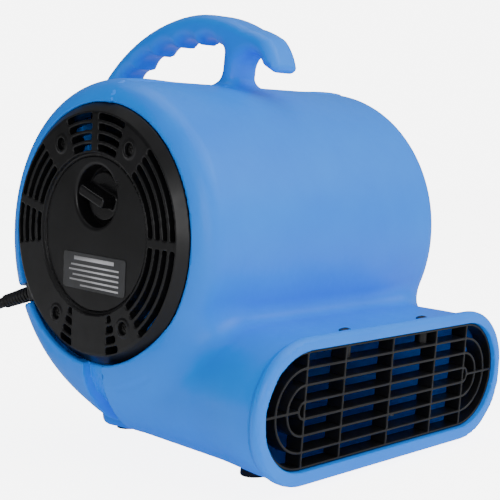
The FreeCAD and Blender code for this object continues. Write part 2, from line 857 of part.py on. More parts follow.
def cover_slots(side):
    """The air slots: four rings cut into groups by straight spokes."""
    start, length = outward(side, 116.0, 132.0)
    half = SHEET.get("slot_width") / 2
    rings = []
    for number in range(4):
        middle = dim("slot_first") + dim("slot_pitch") * number
        outer = rod("slot_outer", middle + half, length, (start, 0.0, 0.0))
        inner = rod("slot_inner", middle - half, length, (start, 0.0, 0.0))
        rings.append(cut("slot_ring", outer, [inner]))
    wedges = [sector("slot_group", 90.0, first, last, start, length) for first, last in SLOT_GROUPS]
    open_parts = common("slot_parts", [group("slot_rings", rings), group("slot_groups", wedges)])
    ribs = [spoke_bar(start, length, degrees, dim("spoke")) for degrees in SPOKES]
    ribs.append(spoke_bar(start, length, 270.0, dim("bottom_rib")))
    return cut("slots", open_parts, ribs)


def spoke_bar(start, length, degrees, width):
    """A straight bar from the axis outwards, counted from the front upwards."""
    turn = FreeCAD.Rotation(FreeCAD.Vector(1, 0, 0), 180.0 - degrees)
    bar = box("spoke_bar", (length, 90.0, width), (0, 0, 0))
    corner = turn.multVec(FreeCAD.Vector(0, 0, -plain(width) / 2))
    bar.Placement = FreeCAD.Placement(FreeCAD.Vector(start, corner.y, corner.z), turn)
    return bar


def cover(side, label):
    """One inlet cover; the near one also carries the knob's well, the motor posts and the cord boss."""
    adds = [cover_disc(side)]
    cuts = [cover_slots(side)]
    for degrees in BOSS_ANGLES:
        y, z = polar(SHEET.get("boss_circle"), degrees)
        start, length = outward(side, 111.5, COVER_TOP + 0.5)
        adds.append(rod("boss", dim("boss_radius"), length, (start, y, z)))
        start, length = outward(side, COVER_TOP - 3.5, COVER_TOP + 2.0)
        cuts.append(rod("boss_recess", 4.0, length, (start, y, z)))
        start, length = outward(side, 110.0, COVER_TOP)
        cuts.append(rod("boss_hole", dim("screw_radius") + dim("running_gap"), length, (start, y, z)))
    if side < 0:
        adds += near_cover_additions()
        cuts += near_cover_cuts()
    slotted = cut("cover_slotted", adds[0], [cuts[0]])
    whole = fuse("cover_solid", [slotted] + adds[1:])
    return on_axis(cut(label, whole, cuts[1:]), turn=True)


def near_cover_additions():
    """The near cover's well, the posts for the motor and the boss round the cord."""
    wall = dim("cover_wall")
    cup = rod("well_cup", dim("well_radius") + wall, dim("well_depth") + wall, (-DISC_TOP, 0.0, dim("knob_up")))
    posts = [
        rod("motor_post", 5.0, 29.8, (-121.8, *polar(POST_CIRCLE, degrees)))
        for degrees in POST_ANGLES
    ]
    return [cup] + posts + [cord_boss()]


def near_cover_cuts():
    """What is taken out of the near cover's additions."""
    well = rod("well", dim("well_radius"), dim("well_depth") + 8.0, (-DISC_TOP - 8.0, 0.0, dim("knob_up")))
    spindle_radius = dim("spindle_radius") + dim("running_gap")
    spindle = rod("spindle_bore", spindle_radius, 20.0, (-DISC_TOP + 5.0, 0.0, dim("knob_up")))
    holes = [
        screw_way("post_hole", 14.0, (-105.0, *polar(POST_CIRCLE, degrees)))
        for degrees in POST_ANGLES
    ]
    return [well, spindle, relief_bore()] + holes


def cord_turn():
    """The direction of the cord's way out, in the turned cover's own frame."""
    angle = -SHEET.get("relief_angle") - SHEET.get("cover_turn")
    return FreeCAD.Rotation(FreeCAD.Vector(1, 0, 0), angle)


def along_cord(thing, x, reach, across):
    """Places a piece by its own corner along the cord's way out."""
    turn = cord_turn()
    corner = turn.multVec(FreeCAD.Vector(0, reach, across - SHEET.get("relief_drop")))
    corner.x = x
    thing.Placement = FreeCAD.Placement(corner, turn.multiply(thing.Placement.Rotation))
    return thing


def cord_boss():
    """The block behind the near cover's edge that holds the strain relief."""
    return along_cord(box("cord_boss", (14.4, 13.0, 13.4), (0, 0, 0)), -124.0, 70.0, -6.7)


def relief_bore():
    """The bore through the cord boss and the spigot."""
    bore = rod("relief_bore", dim("relief_radius"), 26.0, (0, 0, 0), ALONG_Y)
    return along_cord(bore, -SHEET.get("relief_x"), 62.0, 0.0)


def cover_screws(side, label):
    """Four pan-head screws through one cover into the housing's lugs."""
    screws = []
    for degrees in BOSS_ANGLES:
        y, z = polar(SHEET.get("boss_circle"), degrees)
        start, length = outward(side, 99.0, COVER_TOP - 3.5)
        shank = rod("cover_shank", dim("screw_radius"), length, (start, y, z))
        start, length = outward(side, COVER_TOP - 3.5, COVER_TOP - 1.2)
        head = rod("cover_head", dim("screw_head"), length, (start, y, z))
        start, length = outward(side, COVER_TOP - 2.4, COVER_TOP)
        slot_long = box("cross_long", (length, 4.2, 0.9), (start, y - 2.1, z - 0.45))
        slot_short = box("cross_short", (length, 0.9, 4.2), (start, y - 0.45, z - 2.1))
        screws.append(cut("cover_screw", fuse("cover_screw_solid", [shank, head]), [slot_long, slot_short]))
    return on_axis(group(label, screws), turn=True)


def label_plate():
    """A blank rating plate on the near cover."""
    plate = box("rating_plate", (0.6, 62.0, 24.0), (-DISC_TOP - 0.6, -32.0, -37.5))
    return on_axis(group("rating_plate_blank", [plate]), turn=True)


# ---------------------------------------------------------------- switch and knob


def knob():
    """The speed knob: a disc with a bar grip and a spindle into the switch."""
    floor = DISC_TOP - SHEET.get("well_depth")
    up = dim("knob_up")
    disc = rod("knob_disc", dim("knob_radius"), 4.2, (-floor - 4.5, 0.0, up))
    spindle = rod("knob_spindle", dim("spindle_radius"), 14.0, (-floor - 0.5, 0.0, up))
    bar = box("knob_bar", (11.3, dim("knob_bar"), dim("knob_bar_width")), (0, 0, 0))
    turn = FreeCAD.Rotation(FreeCAD.Vector(1, 0, 0), SHEET.get("knob_lean") - SHEET.get("cover_turn"))
    corner = turn.multVec(FreeCAD.Vector(0, -SHEET.get("knob_bar") / 2, -SHEET.get("knob_bar_width") / 2))
    bar.Placement = FreeCAD.Placement(
        FreeCAD.Vector(-floor - 15.3, corner.y, corner.z + SHEET.get("knob_up")), turn)
    DOC.recompute()
    rounded = DOC.addObject("Part::Fillet", "knob_bar_round")
    rounded.Base = bar
    rounded.Edges = [(number, 2.2, 2.2) for number in outer_edges(bar)]
    return on_axis(fuse("speed_knob", [disc, spindle, rounded]), turn=True)


def outer_edges(bar):
    """Numbers of the grip's edges that do not lie on the disc."""
    inner = max(vertex.X for vertex in bar.Shape.Vertexes)
    return [
        number
        for number, edge in enumerate(bar.Shape.Edges, start=1)
        if edge.CenterOfMass.x < inner - 0.1
    ]


def rotary_switch():
    """The switch behind the well, with the spindle's bore and three terminals."""
    up = dim("knob_up")
    block = box("switch_block", (16.0, 26.0, 26.0), (-110.6, -13.0, up - 13.0))
    tabs = [box("switch_tab", (7.0, 6.3, 0.8), (-108.0, 12.0, up + rise)) for rise in (-8.0, 0.0, 8.0)]
    bore = rod("switch_bore", dim("spindle_radius") + dim("running_gap"), 16.0, (-112.0, 0.0, up))
    return on_axis(cut("rotary_switch", fuse("switch_solid", [block] + tabs), [bore]), turn=True)


def capacitor():
    """The motor's run capacitor on the back of the near cover."""
    return on_axis(group("run_capacitor", [
        box("capacitor_case", (16.0, 36.0, 26.0), (-121.6, -18.0, -38.0)),
    ]), turn=True)


def terminal_block():
    """The block where the supply lead ends."""
    block = along_cord(box("terminal_case", (13.0, 13.0, 15.0), (0, 0, 0)), -121.6, 45.5, -7.0)
    return on_axis(group("terminal_block", [block]), turn=True)


def supply_lead():
    """The short lead inside, from the strain relief to the terminal block."""
    lead = along_cord(rod("lead_run", 3.0, 7.5, (0, 0, 0), ALONG_Y), -SHEET.get("relief_x"), 58.5, 0.0)
    return on_axis(group("supply_lead", [lead]), turn=True)


# ---------------------------------------------------------------- motor


def motor_plate():
    """The round plate that carries the motor on the near cover's posts."""
    plate = rod("plate_disc", 52.0, 2.5, (-92.0, 0.0, 0.0))
    cuts = [rod("plate_middle", 12.0, 6.0, (-94.0, 0.0, 0.0))]
    for degrees in POST_ANGLES:
        cuts.append(rod("plate_hole", 2.05, 6.0, (-94.0, *polar(POST_CIRCLE, degrees))))
    for degrees in (45.0, 135.0, 225.0, 315.0):
        cuts.append(rod("plate_bolt_hole", 2.05, 6.0, (-94.0, *polar(34.0, degrees))))
    return on_axis(cut("motor_plate", plate, cuts), turn=True)


def plate_screws():
    """Four screws that hold the motor plate to the posts."""
    screws = []
    for degrees in POST_ANGLES:
        y, z = polar(POST_CIRCLE, degrees)
        shank = rod("plate_shank", dim("screw_radius"), 14.0, (-103.5, y, z))
        head = rod("plate_head", dim("screw_head"), 2.2, (-89.5, y, z))
        screws.append(fuse("plate_screw", [shank, head]))
    return on_axis(group("plate_screws", screws), turn=True)


def motor_bell(label, far):
    """One end bell of the motor, a cup with vents and a bearing seat."""
    radius = dim("motor_radius")
    if far:
        outline = ((-46.0, radius), (-24.0, radius), (-19.5, radius - 6.0), (-19.5, Size(11.0, "11")),
                   (-31.0, Size(11.0, "11")), (-31.0, Size(14.0, "14")), (-23.0, Size(14.0, "14")),
                   (-26.0, radius - 3.0), (-46.0, radius - 3.0))
    else:
        outline = ((-62.0, radius), (-85.0, radius), (-89.5, radius - 4.5), (-89.5, Size(11.0, "11")),
                   (-78.0, Size(11.0, "11")), (-78.0, Size(14.0, "14")), (-86.5, Size(14.0, "14")),
                   (-84.0, radius - 3.0), (-62.0, radius - 3.0))
    cup = turned(label + "_cup", outline)
    vents = []
    for number in range(8):
        y, z = polar(27.0, 22.5 + 45.0 * number)
        start = -30.0 if far else -95.0
        vents.append(rod("vent", 4.0, 16.0, (start, y, z)))
    bolts = bolt_ways()
    return on_axis(cut(label, cup, vents + bolts), turn=True)


def bolt_ways():
    """The holes that the motor's long bolts pass through."""
    return [rod("bolt_way", 2.05, 90.0, (-95.0, *polar(BOLT_CIRCLE, degrees))) for degrees in BOLT_ANGLES]


def stator():
    """The motor's laminated stack."""
    stack = rod("stack_outer", dim("motor_radius"), 16.0, (-62.0, 0.0, 0.0))
    bore = rod("stack_bore", 22.0, 20.0, (-64.0, 0.0, 0.0))
    bolts = bolt_ways()
    return on_axis(cut("stator_stack", stack, [bore] + bolts), turn=True)


def windings():
    """The copper end turns on both faces of the stack."""
    rings = []
    for start in (-72.0, -46.0):
        outer = rod("winding_outer", 30.5, 10.0, (start, 0.0, 0.0))
        inner = rod("winding_inner", 23.5, 14.0, (start - 2.0, 0.0, 0.0))
        rings.append(cut("winding", outer, [inner]))
    return on_axis(group("windings", rings), turn=True)


def tie_bolts():
    """Four long bolts through plate, bells and stack."""
    bolts = []
    for degrees in BOLT_ANGLES:
        y, z = polar(BOLT_CIRCLE, degrees)
        shank = rod("tie_shank", 2.0, 72.5, (-92.0, y, z))
        head = rod("tie_head", 3.5, 2.5, (-94.5, y, z))
        nut = rod("tie_nut", 3.5, 3.0, (-19.5, y, z))
        bolts.append(fuse("tie_bolt", [shank, head, nut]))
    return on_axis(group("tie_bolts", bolts), turn=True)


def bearings():
    """A ball bearing in each end bell."""
    rings = []
    for start in (-87.0, -29.0):
        outer = rod("bearing_outer", 11.0, 7.0, (start, 0.0, 0.0))
        inner = rod("bearing_bore", dim("shaft_radius") + dim("running_gap"), 9.0, (start - 1.0, 0.0, 0.0))
        rings.append(cut("bearing", outer, [inner]))
    return on_axis(group("bearings", rings), turn=True)


def shaft():
    """The motor's shaft, from behind the near bearing to the far side of the wheel's hub."""
    return on_axis(group("motor_shaft", [rod("shaft_rod", dim("shaft_radius"), 117.0, (-91.0, 0.0, 0.0))]))


def rotor():
    """The rotor on the shaft inside the stack."""
    core = rod("rotor_core", 21.3, 16.0, (-62.0, 0.0, 0.0))
    ends = [rod("rotor_end", 17.0, 4.0, (start, 0.0, 0.0)) for start in (-66.0, -46.0)]
    bore = rod("rotor_bore", dim("shaft_radius"), 40.0, (-75.0, 0.0, 0.0))
    return on_axis(cut("rotor", fuse("rotor_solid", [core] + ends), [bore]))


# ---------------------------------------------------------------- wheel


def blade_face(number):
    """The section of one forward-curved blade, in the Y-Z plane."""
    inner = SHEET.get("wheel_inner")
    outer = SHEET.get("wheel_radius") - 0.3
    thickness = 1.2
    pitch = 360.0 / SHEET.get("blade_count")
    start = number * pitch

    def point(radius, degrees):
        return FreeCAD.Vector(0, *polar(radius, start + degrees))

    half = math.degrees(thickness / 2 / inner)
    front = Part.Arc(point(inner, half), point((inner + outer) / 2, 1.2 + half), point(outer, 5.5 + half))
    tip = Part.LineSegment(point(outer, 5.5 + half), point(outer, 5.5 - half))
    back = Part.Arc(point(outer, 5.5 - half), point((inner + outer) / 2, 1.2 - half), point(inner, -half))
    root = Part.LineSegment(point(inner, -half), point(inner, half))
    return Part.Face(Part.Wire([front.toShape(), tip.toShape(), back.toShape(), root.toShape()]))


RING_THICK = 2.5
PLATE_FIT = 0.01


def blades():
    """All blades, each running from one end ring to the other."""
    half = SHEET.get("wheel_half") - RING_THICK
    solids = []
    for number in range(int(SHEET.get("blade_count"))):
        blade = blade_face(number)
        blade.translate(FreeCAD.Vector(-half, 0, 0))
        solids.append(blade.extrude(FreeCAD.Vector(half * 2, 0, 0)))
    thing = DOC.addObject("Part::Feature", "blade_set")
    thing.Shape = Part.makeCompound(solids)
    return thing


def wheel_pieces():
    """The double-inlet wheel as three nodes: its hub and middle plate, its end rings and its blades."""
    half = dim("wheel_half")
    rings = []
    for start in (-half, half - RING_THICK):
        outer = rod("wheel_ring_outer", dim("wheel_radius"), RING_THICK, (start, 0.0, 0.0))
        inner = rod("wheel_ring_inner", dim("wheel_inner") - 0.5, RING_THICK + 2.0, (start - 1.0, 0.0, 0.0))
        rings.append(cut("wheel_ring", outer, [inner]))
    plate = rod("wheel_plate", dim("wheel_inner") - PLATE_FIT, 2.0, (dim("wheel_plate_at"), 0.0, 0.0))
    hub = rod("wheel_hub", 12.0, 28.0, (-8.0, 0.0, 0.0))
    bore = rod("wheel_bore", dim("shaft_radius"), 40.0, (-12.0, 0.0, 0.0))
    screw_way = rod("set_screw_way", 2.0, 14.0, (-2.0, 0.0, 0.0), UPRIGHT)
    return [
        on_axis(cut("blower_wheel", fuse("wheel_middle", [plate, hub]), [bore, screw_way])),
        on_axis(group("wheel_rings", rings)),
        on_axis(group("wheel_blades", [blades()])),
    ]


def set_screw():
    """The screw that locks the hub on the shaft."""
    return on_axis(group("hub_set_screw", [rod("set_screw_rod", 2.0, 7.5, (-2.0, 0.0, 4.2), UPRIGHT)]))


def inlet_ring(side, label):
    """The flat ring behind one cover that leads the air into the wheel."""
    start, length = outward(side, 97.5, 100.5)
    outer = rod(label + "_outer", 84.0, length, (start, 0.0, 0.0))
    cuts = [rod(label + "_inner", 62.0, length + 2.0, (start - 1.0, 0.0, 0.0))]
    for degrees in BOSS_ANGLES:
        y, z = polar(SHEET.get("boss_circle"), degrees)
        cuts.append(screw_way("ring_hole", length + 2.0, (start - 1.0, y, z)))
    return on_axis(cut(label, outer, cuts), turn=True)


# ---------------------------------------------------------------- cord


RELIEF_START = 66.0
COIL_CENTRE = (-153.5, 274.0)
CORD_RUNS = ((38.0, 15.0), (50.0, 52.0))
CORD_FALL = 60.0
FLOOR_RUN = 48.5
COIL_RADIUS = 13.3
COIL_HEIGHT = 14.8


def relief_axis(reach):
    """A point on the strain relief's axis, in the row frame, at a distance past the drum's middle."""
    angle = math.radians(SHEET.get("relief_angle"))
    drop = SHEET.get("relief_drop")
    return FreeCAD.Vector(
        -SHEET.get("relief_x"),
        SHEET.get("axis_back") + reach * math.cos(angle) - drop * math.sin(angle),
        SHEET.get("axis_height") - reach * math.sin(angle) - drop * math.cos(angle),
    )


def strain_relief():
    """The ribbed, tapered sleeve round the cord where it leaves the near cover."""
    turn = FreeCAD.Rotation(FreeCAD.Vector(1, 0, 0), -90.0 - SHEET.get("relief_angle"))
    inner = rod("relief_inner", dim("relief_radius"), 17.0, tuple(relief_axis(RELIEF_START)), turn)
    flange_start = tuple(relief_axis(RELIEF_START + 17.0))
    flange = rod("relief_flange", dim("relief_radius") + 1.0, 2.0, flange_start, turn)
    taper_start = tuple(relief_axis(RELIEF_START + 19.0))
    taper = cone("relief_taper", dim("relief_radius"), 4.9, 35.0, taper_start, turn)
    grooves = []
    for number in range(7):
        start = tuple(relief_axis(RELIEF_START + 22.0 + 4.2 * number))
        outer = rod("relief_groove_outer", 8.0, 1.6, start, turn)
        inner_ring = rod("relief_groove_inner", 4.3, 1.6, start, turn)
        grooves.append(cut("relief_groove", outer, [inner_ring]))
    return cut("strain_relief", fuse("relief_solid", [inner, flange, taper]), grooves)


def cord_route():
    """The corner points of the cord's visible run, from the relief's end down to the floor and the coil."""
    start = relief_axis(RELIEF_START + SHEET.get("relief_length"))
    points = [start]
    for length, drop in CORD_RUNS:
        angle = math.radians(drop)
        points.append(points[-1] + FreeCAD.Vector(0, length * math.cos(angle), -length * math.sin(angle)))
    radius = SHEET.get("cord_radius")
    fall = points[-1].z - radius
    points.append(FreeCAD.Vector(points[-1].x, points[-1].y + fall / math.tan(math.radians(CORD_FALL)), radius))
    points.append(FreeCAD.Vector(points[-1].x, points[-1].y + FLOOR_RUN, radius))
    return points


def rounded_path(points):
    """Straight runs joined by tangent arcs; prints each radius."""
    edges = []
    here = points[0]
    for index in range(1, len(points) - 1):
        corner = points[index]
        back = points[index - 1] - corner
        ahead = points[index + 1] - corner
        shorter = min(back.Length, ahead.Length)
        turn = math.pi - back.getAngle(ahead)
        trim = 0.45 * shorter
        print("cord arc radius", round(trim / math.tan(turn / 2), 1), "mm")
        first = corner + FreeCAD.Vector(back).normalize() * trim
        last = corner + FreeCAD.Vector(ahead).normalize() * trim
        inward = (FreeCAD.Vector(back).normalize() + FreeCAD.Vector(ahead).normalize()).normalize()
        radius = trim / math.tan(turn / 2)
        middle = corner + inward * (radius / math.cos(turn / 2) - radius)
        edges.append(Part.LineSegment(here, first).toShape())
        edges.append(Part.Arc(first, middle, last).toShape())
        here = last
    edges.append(Part.LineSegment(here, points[-1]).toShape())
    return Part.Wire(edges)


def power_cord(coil):
    """The cord from the strain relief to the coil, ending on the coil's surface."""
    points = cord_route()
    path = rounded_path(points)
    radius = SHEET.get("cord_radius")
    circle = Part.Wire(Part.Circle(points[0], points[1] - points[0], radius).toShape())
    solid = path.makePipeShell([circle], True, True)
    expected = path.Length * math.pi * radius ** 2
    print("cord run", round(path.Length, 1), "mm")
    print("cord volume over section times length", round(solid.Volume / expected, 4))
    run = DOC.addObject("Part::Feature", "cord_run")
    run.Shape = solid
    start = plug_start()
    tail = rod("cord_tail", dim("cord_radius"), 30.0, (start.x, start.y + 10.0, start.z), ALONG_Y)
    return group("power_cord", [cut("cord_run_end", run, [coil]), cut("cord_tail_end", tail, [coil])])


def cord_coil():
    """The rest of the cord, coiled and tied on the floor behind: its outer shape as one ring."""
    ring = DOC.addObject("Part::Torus", "cord_coil")
    bind(ring, "Radius1", dim("coil_mid_radius"))
    ring.Radius2 = COIL_RADIUS
    place_at(ring, *COIL_CENTRE, COIL_HEIGHT)
    return ring


def cord_ties(coil):
    """Two bands round the coil."""
    bands = []
    for side in SIDES:
        start = (COIL_CENTRE[0] - 6.0, COIL_CENTRE[1] + side * SHEET.get("coil_mid_radius"), COIL_HEIGHT)
        bands.append(cut("cord_tie", rod("tie_band", COIL_HEIGHT, 12.0, start), [coil]))
    return group("cord_ties", bands)


def plug_start():
    """Where the cord's last turn leaves the coil, and the plug begins."""
    return FreeCAD.Vector(COIL_CENTRE[0] - SHEET.get("coil_mid_radius"), COIL_CENTRE[1] - 50.0, 13.0)


def plug(coil):
    """A moulded plug whose cord end meets the coil."""
    start = plug_start()
    forward = FreeCAD.Rotation(FreeCAD.Vector(1, 0, 0), 90.0)
    boot = cone("plug_boot", 4.6, 8.5, 34.0, (start.x, start.y + 10.0, start.z), forward)
    grip = box("plug_grip", (30.0, 32.0, 22.0), (start.x - 15.0, start.y - 54.0, start.z - 11.0))
    DOC.recompute()
    rounded = DOC.addObject("Part::Fillet", "plug_round")
    rounded.Base = grip
    rounded.Edges = [(number, 5.0, 5.0) for number, edge in enumerate(grip.Shape.Edges, start=1)
                     if abs(edge.tangentAt(edge.FirstParameter).y) > 0.9]
    return cut("plug", fuse("plug_solid", [boot, rounded]), [coil])


def plug_pins():
    """Two flat pins and a round one on the plug's face."""
    start = plug_start()
    face = start.y - 54.0
    pins = [
        box("flat_pin", (1.5, 17.0, 6.4), (start.x + side * 6.35 - 0.75, face - 17.0, start.z - 1.0))
        for side in SIDES
    ]
    forward = FreeCAD.Rotation(FreeCAD.Vector(1, 0, 0), 90.0)
    ground = rod("round_pin", 2.4, 20.0, (start.x, face, start.z - 6.5), forward)
    return group("plug_pins", pins + [ground])


# ---------------------------------------------------------------- assembly


def build():
    """Every piece of the machine, in the order of its making."""
    coil = cord_coil()
    return shell_pieces() + [
        cover(-1, "inlet_cover_near"),
        cover(1, "inlet_cover_far"),
        cover_screws(-1, "cover_screws_near"),
        cover_screws(1, "cover_screws_far"),
        label_plate(),
        knob(),
        rotary_switch(),
        inlet_ring(-1, "inlet_ring_near"),
        inlet_ring(1, "inlet_ring_far"),
        *grille_pieces(),
        grille_screws(),
        feet(),
        foot_screws(),
        rear_pads(),
        capacitor(),
        terminal_block(),
        supply_lead(),
        motor_plate(),
        plate_screws(),
        motor_bell("motor_bell_near", False),
        motor_bell("motor_bell_far", True),
        stator(),
        windings(),
        tie_bolts(),
        bearings(),
        shaft(),
        rotor(),
        *wheel_pieces(),
        set_screw(),
        strain_relief(),
        power_cord(coil),
        coil,
        cord_ties(coil),
        plug(coil),
        plug_pins(),
    ]


def check(pieces):
    """Stops if anything in the document is broken."""
    for thing in DOC.Objects:
        if "Invalid" in thing.State or "Error" in thing.State:
            raise RuntimeError(f"{thing.Label} did not recompute")
        if hasattr(thing, "Shape"):
            if thing.Shape.isNull() or not thing.Shape.isValid():
                raise RuntimeError(f"{thing.Label} has no valid shape")
    labels = [piece.Label for piece in pieces]
    if len(set(labels)) != len(labels):
        raise RuntimeError("two pieces share a label")


def write(pieces):
    """One STEP file for each piece."""
    os.makedirs("parts", exist_ok=True)
    for piece in pieces:
        piece.Shape.exportStep(f"parts/{piece.Label}.step")
        print(piece.Label, len(piece.Shape.Solids), "solid(s)", round(piece.Shape.Volume / 1000, 2), "cm3")


fill_sheet()
PIECES = build()
DOC.recompute()
check(PIECES)
write(PIECES)
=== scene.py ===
"""The looks of a portable air mover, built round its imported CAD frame.

Every moulded piece is a distance field: a function of x, y and z that is negative inside the piece, in
millimetres about the drum's axis. mesh_of() turns the field's zero surface into a closed mesh in the row
frame. A piece's coordinates along its own axis, outwards from the machine's middle, are called out.
"""

import json
import math

import bpy
import numpy as np
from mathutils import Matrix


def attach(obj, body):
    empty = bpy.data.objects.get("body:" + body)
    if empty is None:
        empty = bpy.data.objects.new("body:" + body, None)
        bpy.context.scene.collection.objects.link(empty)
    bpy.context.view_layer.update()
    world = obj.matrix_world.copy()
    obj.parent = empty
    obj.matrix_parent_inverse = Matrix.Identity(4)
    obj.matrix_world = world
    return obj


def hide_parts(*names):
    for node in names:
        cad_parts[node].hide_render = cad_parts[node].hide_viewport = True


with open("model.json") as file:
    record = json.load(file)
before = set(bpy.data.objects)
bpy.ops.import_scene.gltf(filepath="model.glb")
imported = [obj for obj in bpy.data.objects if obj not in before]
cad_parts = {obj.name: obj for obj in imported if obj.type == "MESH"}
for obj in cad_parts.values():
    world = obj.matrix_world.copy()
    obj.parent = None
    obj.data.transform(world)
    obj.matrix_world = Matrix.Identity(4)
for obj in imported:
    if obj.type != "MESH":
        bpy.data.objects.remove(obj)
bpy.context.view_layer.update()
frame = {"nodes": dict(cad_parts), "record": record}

import openvdb
from mathutils import Vector

MM = 0.001

# ---------------------------------------------------------------- sizes, in mm, as the CAD part has them

AXIS = (0.0, 11.75, 151.0)
DRUM_RADIUS = 100.0
DRUM_HALF = 121.0
DRUM_EDGE = 16.0
OPENING_RADIUS = 85.0
SCROLL_CENTRE = (-15.0, -22.0)
SCROLL_RADIUS = 113.0
DUCT_ROUND = 40.0
DUCT_HALF_FRONT = 125.5
LIP_CENTRE = (-146.6, -101.3)
LIP_TILT = math.radians(5.4)
LIP_HALF = 129.3
LIP_HALF_HEIGHT = 44.9
MOUTH_HALF_HEIGHT = 36.9
STADIUM_CENTRE = LIP_HALF - LIP_HALF_HEIGHT
WALL = 6.5
FLOOR = -AXIS[2]
COVER_TURN = math.radians(3.8)
COVER_FACE = 127.0
DISC_FACE = 124.6
DISC_RADIUS = 52.6
BOSS_ANGLES = (59.0, 121.0, 239.0, 301.0)
BOSS_CIRCLE = 65.6
SLOT_RADII = (56.0, 62.6, 69.2, 75.8)
SLOT_HALF = 2.1
SLOT_GROUPS = ((-50.0, 48.0), (68.0, 112.0), (134.0, 190.0), (247.5, 292.5))
SPOKES = ((0.0, 3.0), (90.0, 3.2), (167.0, 3.0), (270.0, 17.5))
SCREW_SINK = 3.5
POST_CIRCLE = 46.0
POST_ANGLES = (15.0, 165.0, -50.0, -130.0)
KNOB_UP = 24.4
WELL_RADIUS = 20.0
WELL_DEPTH = 11.0
GRILLE_SCREW_OUT = 41.0
GRILLE_SCREW_BACK = 10.0
GRILLE_SCREW_UP = 42.0
FOOT_OUT = 72.0
FOOT_Y = -92.6
FOOT_RADIUS = 9.5
PAD_OUT = 34.0
PAD_Y = 71.0
PAD_THICK = 1.6
RELIEF_X = -116.0
RELIEF_ANGLE = math.radians(15.0)
RELIEF_DROP = 22.5
RELIEF_START = 66.0
RELIEF_TAPER = 85.0
RELIEF_END = 120.0
RELIEF_RADIUS = 5.5
RELIEF_TIP = 4.9

# ---------------------------------------------------------------- fields


def round_union(a, b, radius):
    """Both shapes, with a round fillet of that radius where they meet."""
    near = np.hypot(np.maximum(radius - a, 0), np.maximum(radius - b, 0))
    return np.maximum(np.minimum(a, b), radius) - near


def round_common(a, b, radius):
    """What both shapes share, with its edge rounded."""
    return -round_union(-a, -b, radius)


def round_cut(a, b, radius):
    """The first shape without the second, with the new edge rounded."""
    return round_common(a, -b, radius)


def rounded(first, second, radius):
    """The common part of two fields at right angles to each other, as an exact round-edged shape."""
    outside = np.hypot(np.maximum(first + radius, 0), np.maximum(second + radius, 0))
    return outside + np.minimum(np.maximum(first, second) + radius, 0) - radius


def slab(value, low, high):
    """Between two values of one coordinate."""
    return np.abs(value - (low + high) / 2) - (high - low) / 2


def block(x, y, z, low, high, radius=0.5):
    """A box with round edges."""
    sides = rounded(slab(x, low[0], high[0]), slab(y, low[1], high[1]), radius)
    return rounded(sides, slab(z, low[2], high[2]), radius)


def arc_points(start, via, end, count=10):
    """Points on the arc from start through via to end, without its start."""
    (ax, ay), (bx, by), (cx, cy) = start, via, end
    d = 2 * (ax * (by - cy) + bx * (cy - ay) + cx * (ay - by))
    aa, bb, cc = ax * ax + ay * ay, bx * bx + by * by, cx * cx + cy * cy
    ux = (aa * (by - cy) + bb * (cy - ay) + cc * (ay - by)) / d
    uy = (aa * (cx - bx) + bb * (ax - cx) + cc * (bx - ax)) / d
    first = math.atan2(ay - uy, ax - ux)
    middle = math.atan2(by - uy, bx - ux)
    last = math.atan2(cy - uy, cx - ux)
    sweep = (last - first) % math.tau
    if (middle - first) % math.tau > sweep:
        sweep -= math.tau
    radius = math.hypot(ax - ux, ay - uy)
    angles = [first + sweep * step / count for step in range(1, count + 1)]
    return [(ux + radius * math.cos(angle), uy + radius * math.sin(angle)) for angle in angles]


def polygon(u, v, points):
    """Signed distance to a closed outline in the plane of two coordinates."""
    nearest = np.full(np.broadcast(u, v).shape, 1e9, np.float32)
    inside = np.zeros(nearest.shape, bool)
    for (ax, ay), (bx, by) in zip(points, points[1:] + points[:1]):
        ex, ey = bx - ax, by - ay
        along = np.clip(((u - ax) * ex + (v - ay) * ey) / (ex * ex + ey * ey), 0, 1)
        nearest = np.minimum(nearest, np.hypot(u - ax - along * ex, v - ay - along * ey))
        if ey != 0:
            crossing = (ay > v) != (by > v)
            inside ^= crossing & (u < ex * (v - ay) / ey + ax)
    return np.where(inside, -nearest, nearest)


def turn_yz(y, z, angle):
    """Coordinates in a frame that is turned about X by angle."""
    return y * math.cos(angle) + z * math.sin(angle), z * math.cos(angle) - y * math.sin(angle)


# ---------------------------------------------------------------- meshes


def gradient(field, points, gap):
    """The field's slope at each point."""
    slope = np.empty_like(points)
    for axis in range(3):
        ahead, behind = points.copy(), points.copy()
        ahead[:, axis] += gap
        behind[:, axis] -= gap
        slope[:, axis] = (field(*ahead.T) - field(*behind.T)) / (2 * gap)
    return slope


def surface_of(field, low, high, step, adaptivity):
    """Points, faces and normals of a field's zero surface, in mm about the drum's axis."""
    axes = [np.arange(a, b + step, step, dtype=np.float32) for a, b in zip(low, high)]
    grids = np.meshgrid(*axes, indexing="ij", sparse=True)
    shape = tuple(len(axis) for axis in axes)
    values = np.ascontiguousarray(np.broadcast_to(field(*grids), shape), np.float32)
    values = np.clip(values, -4 * step, 4 * step)
    grid = openvdb.FloatGrid(4 * step)
    grid.copyFromArray(values)
    points, triangles, quads = grid.convertToPolygons(0.0, adaptivity)
    points = points.astype(np.float64) * step + np.array(low)
    for _ in range(3):
        slope = gradient(field, points, 0.02 * step + 0.01)
        length = np.maximum((slope ** 2).sum(1), 0.2)
        move = slope * (field(*points.T) / length)[:, None]
        far = np.maximum(np.linalg.norm(move, axis=1) / (0.5 * step), 1)
        points -= move / far[:, None]
    normals = gradient(field, points, 0.25 * step)
    normals /= np.maximum(np.linalg.norm(normals, axis=1), 1e-6)[:, None]
    return points, quads.tolist() + triangles.tolist(), normals


